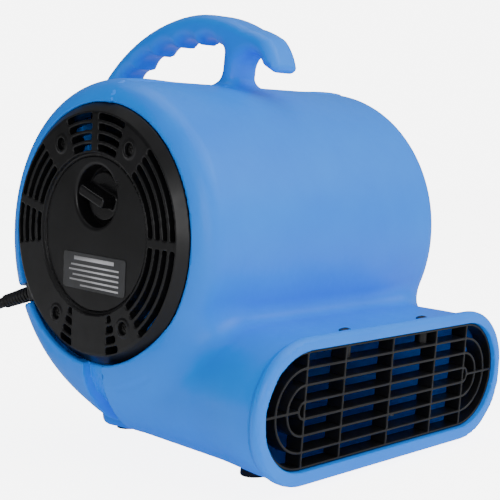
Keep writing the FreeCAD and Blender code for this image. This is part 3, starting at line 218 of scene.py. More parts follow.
def mesh_from(name, points, faces, normals):
    """A Blender object with these faces and these surface normals, in the row frame."""
    data = bpy.data.meshes.new(name)
    data.from_pydata(((points + np.array(AXIS)) * MM).tolist(), [], faces)
    data.validate()
    data.polygons.foreach_set("use_smooth", np.ones(len(data.polygons), bool))
    data.update()
    data.normals_split_custom_set_from_vertices(normals.tolist())
    thing = bpy.data.objects.new(name, data)
    bpy.context.scene.collection.objects.link(thing)
    return thing


def mesh_of(name, field, low, high, step, adaptivity=0.0):
    """A piece made from its field."""
    return mesh_from(name, *surface_of(field, low, high, step, adaptivity))


# ---------------------------------------------------------------- housing


def lip_frame(y, z):
    """Distances back from the outlet's face and up from its middle."""
    back = (y - LIP_CENTRE[0]) * math.cos(LIP_TILT) + (z - LIP_CENTRE[1]) * math.sin(LIP_TILT)
    up = (z - LIP_CENTRE[1]) * math.cos(LIP_TILT) - (y - LIP_CENTRE[0]) * math.sin(LIP_TILT)
    return back, up


def stadium(x, up, half_height):
    """Distance to a round-ended slot shape about the outlet's middle."""
    return np.hypot(np.maximum(np.abs(x) - STADIUM_CENTRE, 0), up) - half_height


def line_above(y, z, start, end):
    """Distance above the line from start to end."""
    length = math.hypot(end[0] - start[0], end[1] - start[1])
    return ((z - start[1]) * (end[0] - start[0]) - (y - start[0]) * (end[1] - start[1])) / length


def smooth_step(value, low, high):
    """Rises smoothly from 0 at low to 1 at high."""
    share = np.clip((value - low) / (high - low), 0, 1)
    return share * share * (3 - 2 * share)


def lower_body(x, y, z):
    """The duct and the scroll under the drum: one side outline, given a width and round long edges."""
    top = line_above(y, z, (-142.0, -59.4), (-6.0, -48.0))
    bottom = -line_above(y, z, (-142.0, -145.5), (SCROLL_CENTRE[0], SCROLL_CENTRE[1] - SCROLL_RADIUS))
    barrel = np.hypot(y - SCROLL_CENTRE[0], z - SCROLL_CENTRE[1]) - SCROLL_RADIUS
    outline = np.where(y < SCROLL_CENTRE[0], np.maximum(top, bottom), barrel)
    half = DRUM_HALF + (DUCT_HALF_FRONT - DRUM_HALF) * smooth_step(-y, 84.0, 130.0)
    return rounded(outline, np.abs(x) - half, DUCT_ROUND)


def drum(x, y, z):
    """The drum, with its round end edges."""
    return rounded(np.hypot(y, z) - DRUM_RADIUS, np.abs(x) - DRUM_HALF, DRUM_EDGE)


def body(x, y, z):
    """Drum and duct as one moulded form, with the soft valley that runs round the drum's ends."""
    reach = np.hypot(y, z)
    valley = 5.5 * np.exp(-(((reach - 101.0) / 8.0) ** 2))
    low = np.maximum(lower_body(x, y, z), np.abs(x) - DRUM_HALF - 5.0 + valley)
    fillet = 13.0 + 9.0 * smooth_step(np.abs(x), 60.0, 118.0)
    return round_union(drum(x, y, z), low, fillet)


HANDLE_ARCS = (
    # (end, via) for arcs and (end,) for straight lines, as y and z
    ((124.0, 111.0), (127.0, 80.0)),
    ((46.0, 151.0), (92.0, 135.0)),
    ((-27.0, 139.8), (12.0, 152.2)),
    ((-46.5, 131.0), (-37.3, 136.0)),
    ((-56.0, 112.0), (-52.8, 121.5)),
    ((-51.0, 107.2), (-55.0, 108.4)),
    ((-42.0, 112.6),),
    ((-18.0, 112.0), (-30.0, 121.5)),
    ((-17.0, 106.0),),
    ((-21.0, 95.5), (-17.9, 100.5)),
    ((-21.0, 86.0),),
    ((16.0, 86.0),),
    ((15.0, 98.5),),
    ((-3.5, 112.0), (1.0, 104.0)),
    ((-5.0, 123.0),),
    ((1.0, 130.0), (-3.3, 128.2)),
    ((21.0, 131.0), (11.0, 134.8)),
    ((44.0, 130.5), (33.0, 136.0)),
    ((67.0, 126.0), (56.0, 133.0)),
    ((88.0, 117.5), (78.5, 126.5)),
    ((104.0, 98.0), (101.0, 113.0)),
    ((88.0, 40.0), (102.0, 68.0)),
)
HANDLE_START = (97.0, 22.0)
HANDLE_HALF = 14.0
HANDLE_ROUND = 8.0


def handle_outline():
    """The handle's side outline with its finger scallops and its cord hook."""
    points = [HANDLE_START]
    for step in HANDLE_ARCS:
        if len(step) == 2:
            points += arc_points(points[-1], step[1], step[0])
        else:
            points.append(step[0])
    return points


def handle(x, y, z, outline=handle_outline()):
    """The grip: its side outline, given a width and round long edges."""
    return rounded(polygon(y, z, outline), np.abs(x) - HANDLE_HALF, HANDLE_ROUND)


def leg(x, y, z):
    """The moulded leg under the scroll's back."""
    half = 47.0 + 0.1 * (z - FLOOR)
    flat = rounded(slab(y, 51.0, 92.0), np.abs(x) - half, 10.0)
    return rounded(flat, slab(z, FLOOR + 1.0, -60.0), 6.0)


def cord_frame(y, z):
    """Distances out along the cord's way and across it."""
    along = y * math.cos(RELIEF_ANGLE) - z * math.sin(RELIEF_ANGLE)
    across = y * math.sin(RELIEF_ANGLE) + z * math.cos(RELIEF_ANGLE) + RELIEF_DROP
    return along, across


def lugs(x, y, z):
    """The blocks behind the rings that take the covers' screws."""
    found = None
    for angle in BOSS_ANGLES:
        turn = math.radians(180.0 - angle) + COVER_TURN
        out, side = turn_yz(y, z, turn)
        arm = block(np.abs(x), out, side, (100.5, 57.0, -7.0), (111.5, 90.0, 7.0))
        heel = block(np.abs(x), out, side, (100.5, 85.4, -7.0), (111.0, 96.5, 7.0))
        pair = np.minimum(arm, heel)
        found = pair if found is None else np.minimum(found, pair)
    return found


GROOVE = (-8.5, 10.0)
GROOVE_DEPTH = 9.0
GROOVE_END = 84.0
GROOVE_TOP = -80.0
GROOVE_LEAN = 0.0022


def under_groove(x, y, z, outer):
    """The groove under the drum's near end, between two values of y; it leans back as it goes down."""
    lean = GROOVE_LEAN * np.maximum(GROOVE_TOP - z, 0.0) ** 2
    across = slab(y - lean, *GROOVE)
    groove = np.maximum(across, np.maximum(-outer - GROOVE_DEPTH, x + GROOVE_END))
    return np.maximum(groove, z - GROOVE_TOP)


def groove_wall(x, y, z, outer):
    """What the hollow leaves standing round the groove."""
    wall = slab(y, GROOVE[0] - 3.0, GROOVE[1] + 8.0)
    wall = np.maximum(wall, np.maximum(-outer - GROOVE_DEPTH - 3.0, x + GROOVE_END - 3.0))
    return np.maximum(wall, z - GROOVE_TOP)


def housing(x, y, z):
    """The whole blue shell."""
    outer = body(x, y, z)
    back, up = lip_frame(y, z)
    middle = round_union(outer, leg(x, y, z), 8.0)
    middle = np.maximum(middle, -back)
    collar = rounded(stadium(x, up, LIP_HALF_HEIGHT), slab(back, 0.0, 6.0), 2.2)
    middle = round_union(middle, collar, 4.0)
    cavity = np.maximum(np.maximum(outer + WALL, 18.0 - back), -groove_wall(x, y, z, outer))
    mouth = np.maximum(stadium(x, up, MOUTH_HALF_HEIGHT), back - 24.0)
    ends = np.maximum(np.hypot(y, z) - OPENING_RADIUS, 100.0 - np.abs(x))
    along, across = cord_frame(y, z)
    notch = block(x, along, across, (-129.0, 76.0, -7.3), (-109.0, 106.0, 7.3), 1.0)
    shell = round_union(middle, handle(x, y, z), 7.0)
    shell = np.maximum(shell, -cavity)
    shell = round_cut(shell, mouth, 1.4)
    shell = round_cut(shell, ends, 1.2)
    shell = round_cut(shell, under_groove(x, y, z, outer), 0.9)
    shell = round_cut(shell, notch, 0.8)
    return np.minimum(shell, lugs(x, y, z))


def make_housing():
    """The blue shell, in place of the four CAD nodes that it is made of."""
    low = (-LIP_HALF - 3.0, -154.0, FLOOR)
    high = (LIP_HALF + 3.0, 131.0, 156.0)
    piece = mesh_of("housing_shell", housing, low, high, 1.8, 0.0)
    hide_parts("housing", "outlet_duct", "carry_handle", "rear_leg")
    return finish_piece(piece, "machine", "blue_shell")


# ---------------------------------------------------------------- covers


def cover_outline():
    """Half section of a cover's plate, as distance out along X and radius."""
    spigot = OPENING_RADIUS - 0.4
    return [
        (DISC_FACE, -5.0),
        (DISC_FACE, DISC_RADIUS - 0.8),
        (COVER_FACE, DISC_RADIUS),
        (COVER_FACE, 77.5),
        (COVER_FACE - 0.6, 79.0),
        (DRUM_HALF, spigot),
        (DRUM_HALF - 9.0, spigot),
        (DRUM_HALF - 9.0, spigot - WALL),
        (DRUM_HALF - 1.3, spigot - WALL),
        (COVER_FACE - WALL, 77.2),
        (COVER_FACE - WALL, DISC_RADIUS - 2.8),
        (DISC_FACE - WALL, DISC_RADIUS - 3.6),
        (DISC_FACE - WALL, -5.0),
    ]


def spoke_distance(y, z, degrees, half):
    """Inside a straight spoke from the axis outwards; angles count from the front upwards."""
    angle = math.radians(degrees)
    out = -y * math.cos(angle) + z * math.sin(angle)
    across = y * math.sin(angle) + z * math.cos(angle)
    return np.maximum(np.abs(across) - half, -out)


def cover_slots(y, z, reach):
    """The four slot rings, cut into groups with round ends."""
    angle = np.degrees(np.arctan2(z, -y))
    slots = None
    ring = None
    for radius in SLOT_RADII:
        band = np.abs(reach - radius) - SLOT_HALF
        ring = band if ring is None else np.minimum(ring, band)
    for first, last in SLOT_GROUPS:
        middle, half = (first + last) / 2, (last - first) / 2
        off = np.abs((angle - middle + 180.0) % 360.0 - 180.0) - half
        group = rounded(ring, np.radians(off) * reach, 1.6)
        slots = group if slots is None else np.minimum(slots, group)
    for degrees, half in SPOKES:
        slots = round_cut(slots, spoke_distance(y, z, degrees, half), 1.2)
    return slots


def cover_field(side):
    """The field of one inlet cover; side is -1 for the near one with the knob."""
    outline = cover_outline()

    def field(x, y, z):
        out = side * x
        v, w = turn_yz(y, z, COVER_TURN)
        reach = np.hypot(v, w)
        shell = polygon(out, reach, outline)
        groove = np.maximum(np.abs(reach - DISC_RADIUS + 2.2) - 0.45, DISC_FACE - 0.7 - out)
        shell = round_cut(shell, groove, 0.3)
        shell = round_cut(shell, np.maximum(cover_slots(v, w, reach), 112.0 - out), 0.5)
        for degrees in BOSS_ANGLES:
            angle = math.radians(degrees)
            hole = np.hypot(v + BOSS_CIRCLE * math.cos(angle), w - BOSS_CIRCLE * math.sin(angle))
            shell = round_union(shell, rounded(hole - 6.2, slab(out, 111.5, COVER_FACE + 0.5), 0.7), 0.5)
            shell = round_cut(shell, np.maximum(hole - 4.1, COVER_FACE - SCREW_SINK - out), 0.4)
            shell = np.maximum(shell, 2.15 - hole)
        if side < 0:
            shell = near_extras(shell, out, v, w)
        return shell

    return field


def near_extras(shell, out, v, w):
    """The knob's well, the motor's posts, a small dimple and the boss round the cord."""
    well = np.hypot(v, w - KNOB_UP)
    cup = rounded(well - WELL_RADIUS - 3.0, slab(out, 110.6, DISC_FACE - 1.0), 1.0)
    shell = round_union(shell, cup, 1.0)
    shell = round_cut(shell, np.maximum(well - WELL_RADIUS, DISC_FACE - WELL_DEPTH - out), 2.4)
    shell = np.maximum(shell, 3.1 - well)
    dimple = np.hypot(v + 20.5, w - 34.0)
    shell = round_cut(shell, np.maximum(dimple - 1.6, DISC_FACE - 0.9 - out), 0.4)
    for degrees in POST_ANGLES:
        angle = math.radians(degrees)
        post = np.hypot(v + POST_CIRCLE * math.cos(angle), w - POST_CIRCLE * math.sin(angle))
        shell = round_union(shell, np.maximum(post - 5.0, slab(out, 92.0, 122.0)), 0.6)
    turned = RELIEF_ANGLE + COVER_TURN
    along = v * math.cos(turned) - w * math.sin(turned)
    across = v * math.sin(turned) + w * math.cos(turned) + RELIEF_DROP
    boss = block(out, along, across, (109.6, 70.0, -6.7), (124.0, 82.6, 6.7), 1.2)
    shell = round_union(shell, boss, 1.0)
    return np.maximum(shell, np.minimum(RELIEF_RADIUS - np.hypot(out + RELIEF_X, across), along - 62.0))


def make_covers():
    """Both inlet covers."""
    low, high = (-129.0, -87.0, -87.0), (-90.0, 91.0, 87.0)
    near = mesh_of("inlet_cover_near_shell", cover_field(-1), low, high, 0.9)
    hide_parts("inlet_cover_near")
    low, high = (109.0, -87.0, -87.0), (129.0, 87.0, 87.0)
    far = mesh_of("inlet_cover_far_shell", cover_field(1), low, high, 0.9)
    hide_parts("inlet_cover_far")
    return [finish_piece(piece, "machine", "black_cover") for piece in (near, far)]


# ---------------------------------------------------------------- grille


GRILLE_PITCH = 10.3
BAR_HALF = 0.85
UPRIGHTS = (0.0, 48.3, STADIUM_CENTRE)


def grille(x, y, z):
    """Bars that bow round at the ends, uprights, end spokes, a rim and two screw bosses."""
    back, up = lip_frame(y, z)
    rim = MOUTH_HALF_HEIGHT - 0.5 - BAR_HALF
    shape = stadium(x, up, 0.0)
    bars = np.abs(shape - rim) - BAR_HALF
    for row in (0.5, 1.5, 2.5):
        bars = np.minimum(bars, np.abs(shape - row * GRILLE_PITCH) - BAR_HALF)
    inside = shape - rim
    for place in UPRIGHTS:
        bars = np.minimum(bars, np.maximum(np.abs(np.abs(x) - place) - BAR_HALF, inside))
    spoke = np.maximum(np.abs(up) - BAR_HALF, STADIUM_CENTRE + GRILLE_PITCH / 2 - np.abs(x))
    bars = np.minimum(bars, np.maximum(spoke, inside))
    lattice = rounded(bars, slab(back, 2.0, 14.0), 0.45)
    boss = np.hypot(np.abs(x) - GRILLE_SCREW_OUT, back - GRILLE_SCREW_BACK) - 4.0
    boss = np.maximum(boss, slab(up, 27.0, 36.0))
    return round_union(lattice, boss, 0.6)


def make_grille():
    """The outlet grille, in place of its rim, bars, bows and uprights."""
    low = (-LIP_HALF + 6.0, -152.0, -142.0)
    high = (LIP_HALF - 6.0, -122.0, -60.0)
    piece = mesh_of("outlet_grille_bars", grille, low, high, 0.75)
    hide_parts("outlet_grille", "grille_bars", "grille_bows", "grille_uprights")
    return finish_piece(piece, "machine", "grille_black")


# ---------------------------------------------------------------- knob, plate and screws


KNOB_LEAN = math.radians(19.2)


def knob(x, y, z):
    """A disc with a waisted bar grip across it, and the spindle behind."""
    v, w = turn_yz(y, z, COVER_TURN)
    out = -x
    w = w - KNOB_UP
    reach = np.hypot(v, w)
    disc = rounded(reach - 16.0, slab(out, 113.9, 118.1), 1.0)
    spindle = np.maximum(reach - 3.0, slab(out, 100.1, 115.0))
    along, across = turn_yz(v, w, KNOB_LEAN)
    half = 3.9 + 0.0018 * along ** 2
    slope = 0.06 * (out - 118.0)
    grip = rounded(np.abs(across) - half + slope, np.abs(along) - 13.2 + slope, 2.4)
    grip = rounded(grip, slab(out, 116.0, 128.9), 1.3)
    shape = round_union(disc, grip, 1.6)
    return np.minimum(shape, spindle)


def make_knob():
    """The speed knob."""
    low = (-131.0, -19.0, 4.0)
    high = (-99.0, 19.0, 44.0)
    piece = mesh_of("speed_knob_grip", knob, low, high, 0.45)
    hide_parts("speed_knob")
    return finish_piece(piece, "knob", "knob_black")


def to_row(out, v, w, side=-1):
    """A point of a turned cover's frame, in mm about the drum's axis."""
    y = v * math.cos(COVER_TURN) - w * math.sin(COVER_TURN)
    z = v * math.sin(COVER_TURN) + w * math.cos(COVER_TURN)
    return np.array([side * out, y, z])


def screw_field(head_radius, head_height, dome, shank, cross, head_taper=0.0):
    """A pan-head or button-head screw along +X, its head's underside at 0."""

    def field(x, y, z):
        reach = np.hypot(y, z)
        ball = np.hypot(x - head_height + dome, reach) - dome
        head = rounded(reach - head_radius + head_taper * x, slab(x, 0.0, head_height), 0.45)
        head = np.maximum(head, ball)
        body_rod = np.maximum(reach - 2.0, slab(x, -shank, 0.5))
        shape = np.minimum(head, body_rod)
        if cross:
            arms = np.minimum(np.abs(y), np.abs(z)) - 0.42
            arms = np.maximum(arms, np.maximum(reach - 2.1, head_height - 1.5 - x + 0.4 * reach))
            return round_cut(shape, arms, 0.12)
        slants = np.maximum(np.abs(y * 0.5 + z * 0.866), np.abs(y * 0.5 - z * 0.866))
        hexagon = np.maximum(np.abs(y), slants) - 1.3
        return round_cut(shape, np.maximum(hexagon, head_height - 1.5 - x), 0.12)

    return field


def copies_of(name, field, low, high, step, frames):
    """One piece made of the same field set at several frames, each a 3 by 3 turn and a place."""
    points, faces, normals = surface_of(field, low, high, step, 0.0)
    all_points, all_faces, all_normals = [], [], []
    for turn, place in frames:
        start = len(points) * len(all_points)
        all_points.append(points @ turn.T + place)
        all_normals.append(normals @ turn.T)
        all_faces += [[corner + start for corner in face] for face in faces]
    return mesh_from(name, np.vstack(all_points), all_faces, np.vstack(all_normals))


def turn_x(angle):
    """The 3 by 3 turn about X."""
    c, s = math.cos(angle), math.sin(angle)
    return np.array([[1, 0, 0], [0, c, -s], [0, s, c]], float)


def turn_y(angle):
    """The 3 by 3 turn about Y."""
    c, s = math.cos(angle), math.sin(angle)
    return np.array([[c, 0, s], [0, 1, 0], [-s, 0, c]], float)


def turn_z(angle):
    """The 3 by 3 turn about Z."""
    c, s = math.cos(angle), math.sin(angle)
    return np.array([[c, -s, 0], [s, c, 0], [0, 0, 1]], float)


def make_cover_screws():
    """Four cross-head screws in each cover, each turned differently."""
    pieces = []
    field = screw_field(3.7, 2.4, 8.0, 24.5, True)
    low, high = (-25.5, -4.5, -4.5), (3.5, 4.5, 4.5)
    for side, label in ((-1, "near"), (1, "far")):
        frames = []
        for number, degrees in enumerate(BOSS_ANGLES):
            angle = math.radians(degrees)
            v, w = -BOSS_CIRCLE * math.cos(angle), BOSS_CIRCLE * math.sin(angle)
            face = np.eye(3) if side > 0 else turn_z(math.pi)
            frames.append((face @ turn_x(0.5 + 1.1 * number), to_row(COVER_FACE - SCREW_SINK, v, w, side)))
        piece = copies_of(f"cover_screws_{label}_heads", field, low, high, 0.3, frames)
        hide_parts(f"cover_screws_{label}")
        pieces.append(finish_piece(piece, "machine", "dark_screw"))
    return pieces


def make_grille_screws():
    """Two socket-head screws that come down through the duct's collar into the grille."""
    field = screw_field(4.5, 2.5, 7.5, 12.5, False)
    back, up = GRILLE_SCREW_BACK, GRILLE_SCREW_UP
    y = LIP_CENTRE[0] + back * math.cos(LIP_TILT) - up * math.sin(LIP_TILT)
    z = LIP_CENTRE[1] + back * math.sin(LIP_TILT) + up * math.cos(LIP_TILT)
    frames = []
    for x in (-GRILLE_SCREW_OUT, GRILLE_SCREW_OUT):
        frames.append((turn_x(LIP_TILT) @ turn_y(-math.pi / 2), np.array([x, y, z])))
    piece = copies_of("grille_screw_heads", field, (-13.5, -5.5, -5.5), (3.5, 5.5, 5.5), 0.3, frames)
    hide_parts("grille_screws")
    return finish_piece(piece, "machine", "dark_screw")


PLATE = ((-32.0, 30.0), (-37.5, -13.5))
# plain bars on the plate: left end, right end, height of the middle, half thickness
PLATE_TITLE = (-21.0, 19.0, -17.2, 1.25)
PLATE_ROWS = ((-26, 22), (-26, 24), (-26, 20), (-26, 23), (-26, 12))


def plate(x, y, z):
    """A thin film with round corners on the cover's disc."""
    v, w = turn_yz(y, z, COVER_TURN)
    flat = rounded(slab(v, *PLATE[0]), slab(w, *PLATE[1]), 2.0)
    return rounded(flat, slab(-x, DISC_FACE - 0.2, DISC_FACE + 0.6), 0.15)


def make_plate():
    """The blank rating plate, with plain bars where a real one has its print."""
    piece = mesh_of("rating_plate_film", plate, (-127.0, -36.0, -42.0), (-123.0, 34.0, -9.0), 0.5)
    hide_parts("rating_plate_blank")
    finish_piece(piece, "machine", "plate_grey")
    points, faces, normals = [], [], []
    bars = [PLATE_TITLE]
    for row, (left, right) in enumerate(PLATE_ROWS):
        bars.append((left, right, -21.6 - 3.3 * row, 0.6))
    out = DISC_FACE + 0.63
    for left, right, level, half in bars:
        low, high = level - half, level + half
        for v, w in ((left, low), (right, low), (right, high), (left, high)):
            points.append(to_row(out, v, w))
            normals.append((-1.0, 0.0, 0.0))
        start = len(points) - 4
        faces.append([start + 3, start + 2, start + 1, start])
    print_piece = mesh_from("rating_plate_bars", np.array(points), faces, np.array(normals))
    thick = print_piece.modifiers.new("thickness", "SOLIDIFY")
    thick.thickness = 0.00008
    finish_piece(print_piece, "machine", "plate_print")
    return [piece, print_piece]


# ---------------------------------------------------------------- feet


def front_feet(x, y, z):
    """Two rubber feet with a waist, shaped to the duct's floor, each with a screw seat."""
    reach = np.hypot(np.abs(x) - FOOT_OUT, y - FOOT_Y)
    level = z - FLOOR
    side = FOOT_RADIUS - 0.7 * smooth_step(level, 2.0, 6.0)
    shape = rounded(reach - side, slab(level, 0.0, 14.0), 1.2)
    shape = round_cut(shape, np.maximum(reach - 4.2, level - 4.0), 0.5)
    floor = line_above(y, z, (-142.0, -145.5), (SCROLL_CENTRE[0], SCROLL_CENTRE[1] - SCROLL_RADIUS))
    return np.maximum(np.maximum(shape, 2.05 - reach), floor)


def rear_pads(x, y, z):
    """Flat rubber pads under the rear leg."""
    reach = np.hypot(np.abs(x) - PAD_OUT, y - PAD_Y)
    return rounded(reach - FOOT_RADIUS, slab(z, FLOOR, FLOOR + PAD_THICK), 0.5)


def make_feet():
    """The two front feet and the pads of the rear leg."""
    low, high = (-83.0, -104.0, FLOOR - 1.0), (83.0, -81.0, FLOOR + 16.0)
    front = mesh_of("front_feet_rubber", front_feet, low, high, 0.8)
    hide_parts("front_feet")
    low, high = (-45.0, 60.0, FLOOR - 1.0), (45.0, 82.0, FLOOR + 3.0)
    rear = mesh_of("rear_pads_rubber", rear_pads, low, high, 0.5)
    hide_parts("rear_pads")
    return [finish_piece(piece, "machine", "foot_rubber") for piece in (front, rear)]


# ---------------------------------------------------------------- cord


CORD_RADIUS = 3.75
COIL_CENTRE = (-153.5, 274.0)
COIL_RADIUS = 37.5
COIL_HEIGHT = 14.8
# the cord's first runs, as length and degrees below level, then its fall to the floor and its run on it
CORD_RUNS = ((38.0, 15.0), (50.0, 52.0))
CORD_FALL = math.radians(60.0)
FLOOR_RUN = 48.5
RIB_PITCH = 3.6
RIB_FLOOR = 4.2


def relief_point(reach):
    """A point on the strain relief's axis in the row frame, in mm."""
    return (
        RELIEF_X,
        AXIS[1] + reach * math.cos(RELIEF_ANGLE) - RELIEF_DROP * math.sin(RELIEF_ANGLE),
        AXIS[2] - reach * math.sin(RELIEF_ANGLE) - RELIEF_DROP * math.cos(RELIEF_ANGLE),
    )


def strain_relief(x, y, z):
    """A tapered rubber sleeve with deep ribs and a round end, in the cover's cord boss."""
    along, across = cord_frame(y, z)
    reach = np.hypot(x - RELIEF_X, across)
    taper = smooth_step(along, RELIEF_TAPER, RELIEF_END)
    side = RELIEF_RADIUS - (RELIEF_RADIUS - RELIEF_TIP) * taper
    sleeve = rounded(reach - side, slab(along, RELIEF_START, RELIEF_END), 1.8)
    ribs_start = RELIEF_TAPER + 1.0
    phase = (along - ribs_start) % RIB_PITCH
    ribbed = np.maximum(slab(along, ribs_start, RELIEF_END - 3.0), RIB_FLOOR - reach)
    return round_cut(sleeve, np.maximum(np.abs(phase - 1.0) - 0.7, ribbed), 0.35)


def make_relief():
    """The sleeve where the cord leaves the cover."""
    low = (RELIEF_X - 8.0, 52.0, -62.0)
    high = (RELIEF_X + 8.0, 116.0, -32.0)
    piece = mesh_of("strain_relief_sleeve", strain_relief, low, high, 0.5)
    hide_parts("strain_relief")
    return finish_piece(piece, "machine", "relief_rubber")


def cord_route():
    """The cord's points, in mm: out of the sleeve, down to the floor, and into the coil."""
    start = relief_point(RELIEF_END)
    points = [start]
    for length, drop in CORD_RUNS:
        angle = math.radians(drop)
        x, y, z = points[-1]
        points.append((x, y + length * math.cos(angle), z - length * math.sin(angle)))
    x, y, z = points[-1]
    points.append((x, y + (z - CORD_RADIUS) / math.tan(CORD_FALL), CORD_RADIUS))
    points.append((x, points[-1][1] + FLOOR_RUN, CORD_RADIUS))
    return points


# places of the turns in the bundle, in degrees round it from the coil's outside upwards; None is its middle
COIL_PLACES = (270.0, 225.0, 180.0, 135.0, 90.0, 45.0, None, 315.0, 0.0)
COIL_SPREAD = 1.275 * 2 * CORD_RADIUS
TURN_STEPS = 16
PLUG_HEIGHT = 13.5
# the way from the last turn into the plug's boot, as distance out from the coil's middle line, and y
PLUG_WAY = ((6.8, 261.0), (2.6, 248.0), (0.4, 239.0), (0.0, 232.0), (0.0, 222.0))


def coil_place(number):
    """How far out and up one turn lies from the bundle's middle."""
    degrees = COIL_PLACES[min(number, len(COIL_PLACES) - 1)]
    if degrees is None:
        return 0.0, 0.0
    return COIL_SPREAD * math.cos(math.radians(degrees)), COIL_SPREAD * math.sin(math.radians(degrees))


def coil_points():
    """The rest of the cord, wound in turns that lie beside and on each other, up to the plug."""
    points = []
    for number in range(len(COIL_PLACES) * TURN_STEPS + TURN_STEPS // 2 + 1):
        turn, share = divmod(number / TURN_STEPS, 1.0)
        here, after = coil_place(int(turn)), coil_place(int(turn) + 1)
        blend = smooth_step(share, 0.75, 1.0)
        out = here[0] + (after[0] - here[0]) * blend
        up = here[1] + (after[1] - here[1]) * blend
        angle = math.tau * share
        radius = COIL_RADIUS + out
        points.append((
            COIL_CENTRE[0] + radius * math.cos(angle),
            COIL_CENTRE[1] + radius * math.sin(angle),
            COIL_HEIGHT + up,
        ))
    left = COIL_CENTRE[0] - COIL_RADIUS
    return points + [(left - out, y, PLUG_HEIGHT) for out, y in PLUG_WAY]


def make_cord():
    """The whole cord on one smooth curve, from the strain relief into the plug."""
    points = cord_route() + coil_points()
    curve = bpy.data.curves.new("power_cord_line", "CURVE")
    curve.dimensions = "3D"
    curve.bevel_depth = CORD_RADIUS * MM
    curve.bevel_resolution = 5
    curve.resolution_u = 8
    curve.use_fill_caps = True
    spline = curve.splines.new("NURBS")
    spline.points.add(len(points) - 1)
    for point, place in zip(spline.points, points):
        point.co = (*[value * MM for value in place], 1.0)
    spline.order_u = 3
    spline.use_endpoint_u = True
    cord = bpy.data.objects.new("power_cord_flex", curve)
    bpy.context.scene.collection.objects.link(cord)
    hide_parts("power_cord", "cord_coil")
    return finish_piece(cord, "machine", "cord_rubber")


# ---------------------------------------------------------------- materials


def node_tree(name):
    """A new material, its node tree and its shader."""
    material = bpy.data.materials.new(name)
    material.use_nodes = True
    tree = material.node_tree
    shader = tree.nodes["Principled BSDF"]
    return material, tree, shader


def add(tree, kind, **inputs):
    """A node of one kind with some of its sockets set; names with spaces are written with underscores."""
    node = tree.nodes.new(kind)
    for name, value in inputs.items():
        node.inputs[name.replace("_", " ")].default_value = value
    return node


def noise(tree, scale, detail=2.0, roughness=0.5):
    """Noise in the object's own coordinates, scale in turns per metre."""
    place = tree.nodes.new("ShaderNodeTexCoord")
    node = add(tree, "ShaderNodeTexNoise", Scale=scale, Detail=detail, Roughness=roughness)
    tree.links.new(place.outputs["Object"], node.inputs["Vector"])
    return node.outputs["Fac"]


def ramp(tree, source, low, high, first, last):
    """Maps a value from low..high to first..last."""
    node = add(tree, "ShaderNodeMapRange")
    for name, value in (("From Min", low), ("From Max", high), ("To Min", first), ("To Max", last)):
        node.inputs[name].default_value = value
    tree.links.new(source, node.inputs["Value"])
    return node.outputs["Result"]


def mixed(tree, share, first, last):
    """A colour between two, by a share from 0 to 1."""
    node = tree.nodes.new("ShaderNodeMix")
    node.data_type = "RGBA"
    node.inputs[6].default_value = (*first, 1.0)
    node.inputs[7].default_value = (*last, 1.0)
    tree.links.new(share, node.inputs[0])
    return node.outputs[2]


def bumps(tree, layers):
    """Bump from several layers of (height, strength, distance in metres)."""
    normal = None
    for height, strength, distance in layers:
        node = add(tree, "ShaderNodeBump", Strength=strength, Distance=distance)
        tree.links.new(height, node.inputs["Height"])
        if normal is not None:
            tree.links.new(normal, node.inputs["Normal"])
        normal = node.outputs["Normal"]
    return normal


def surface(name, colours, rough, grain, wave, metallic):
    """A material with mottled colour, uneven gloss, a fine grain and a slow wave in its surface.

    colours are two, rough is a pair, grain and wave are (turns per metre, strength, height in metres).
    """
    material, tree, shader = node_tree(name)
    shader.inputs["Metallic"].default_value = metallic
    shader.inputs["Specular IOR Level"].default_value = 0.35
    mottle = ramp(tree, noise(tree, 38.0, 3.0), 0.35, 0.65, 0.0, 1.0)
    tree.links.new(mixed(tree, mottle, *colours), shader.inputs["Base Color"])
    gloss = ramp(tree, noise(tree, 95.0, 4.0, 0.6), 0.3, 0.7, *rough)
    tree.links.new(gloss, shader.inputs["Roughness"])
    layers = [(noise(tree, wave[0], 1.0), *wave[1:]), (noise(tree, grain[0], 2.0), *grain[1:])]
    tree.links.new(bumps(tree, layers), shader.inputs["Normal"])
    return material


def moulded_blue():
    """Rotomoulded polyethylene: satin, with a soft orange peel and a faint mottle in its colour."""
    material, tree, shader = node_tree("moulded_blue")
    shader.inputs["Specular IOR Level"].default_value = 0.22
    mottle = ramp(tree, noise(tree, 22.0, 4.0, 0.55), 0.3, 0.7, 0.0, 1.0)
    base = mixed(tree, mottle, (0.003, 0.220, 0.950), (0.005, 0.250, 0.990))
    tree.links.new(base, shader.inputs["Base Color"])
    gloss = ramp(tree, noise(tree, 160.0, 5.0, 0.6), 0.3, 0.7, 0.33, 0.45)
    tree.links.new(gloss, shader.inputs["Roughness"])
    peel = noise(tree, 260.0, 2.0, 0.5)
    slow = noise(tree, 60.0, 1.5, 0.4)
    skin = noise(tree, 1500.0, 2.0, 0.5)
    layers = [(slow, 0.35, 0.0009), (peel, 0.22, 0.00035), (skin, 0.12, 0.00006)]
    tree.links.new(bumps(tree, layers), shader.inputs["Normal"])
    return material


BLACK = ((0.004, 0.004, 0.0045), (0.007, 0.007, 0.008))


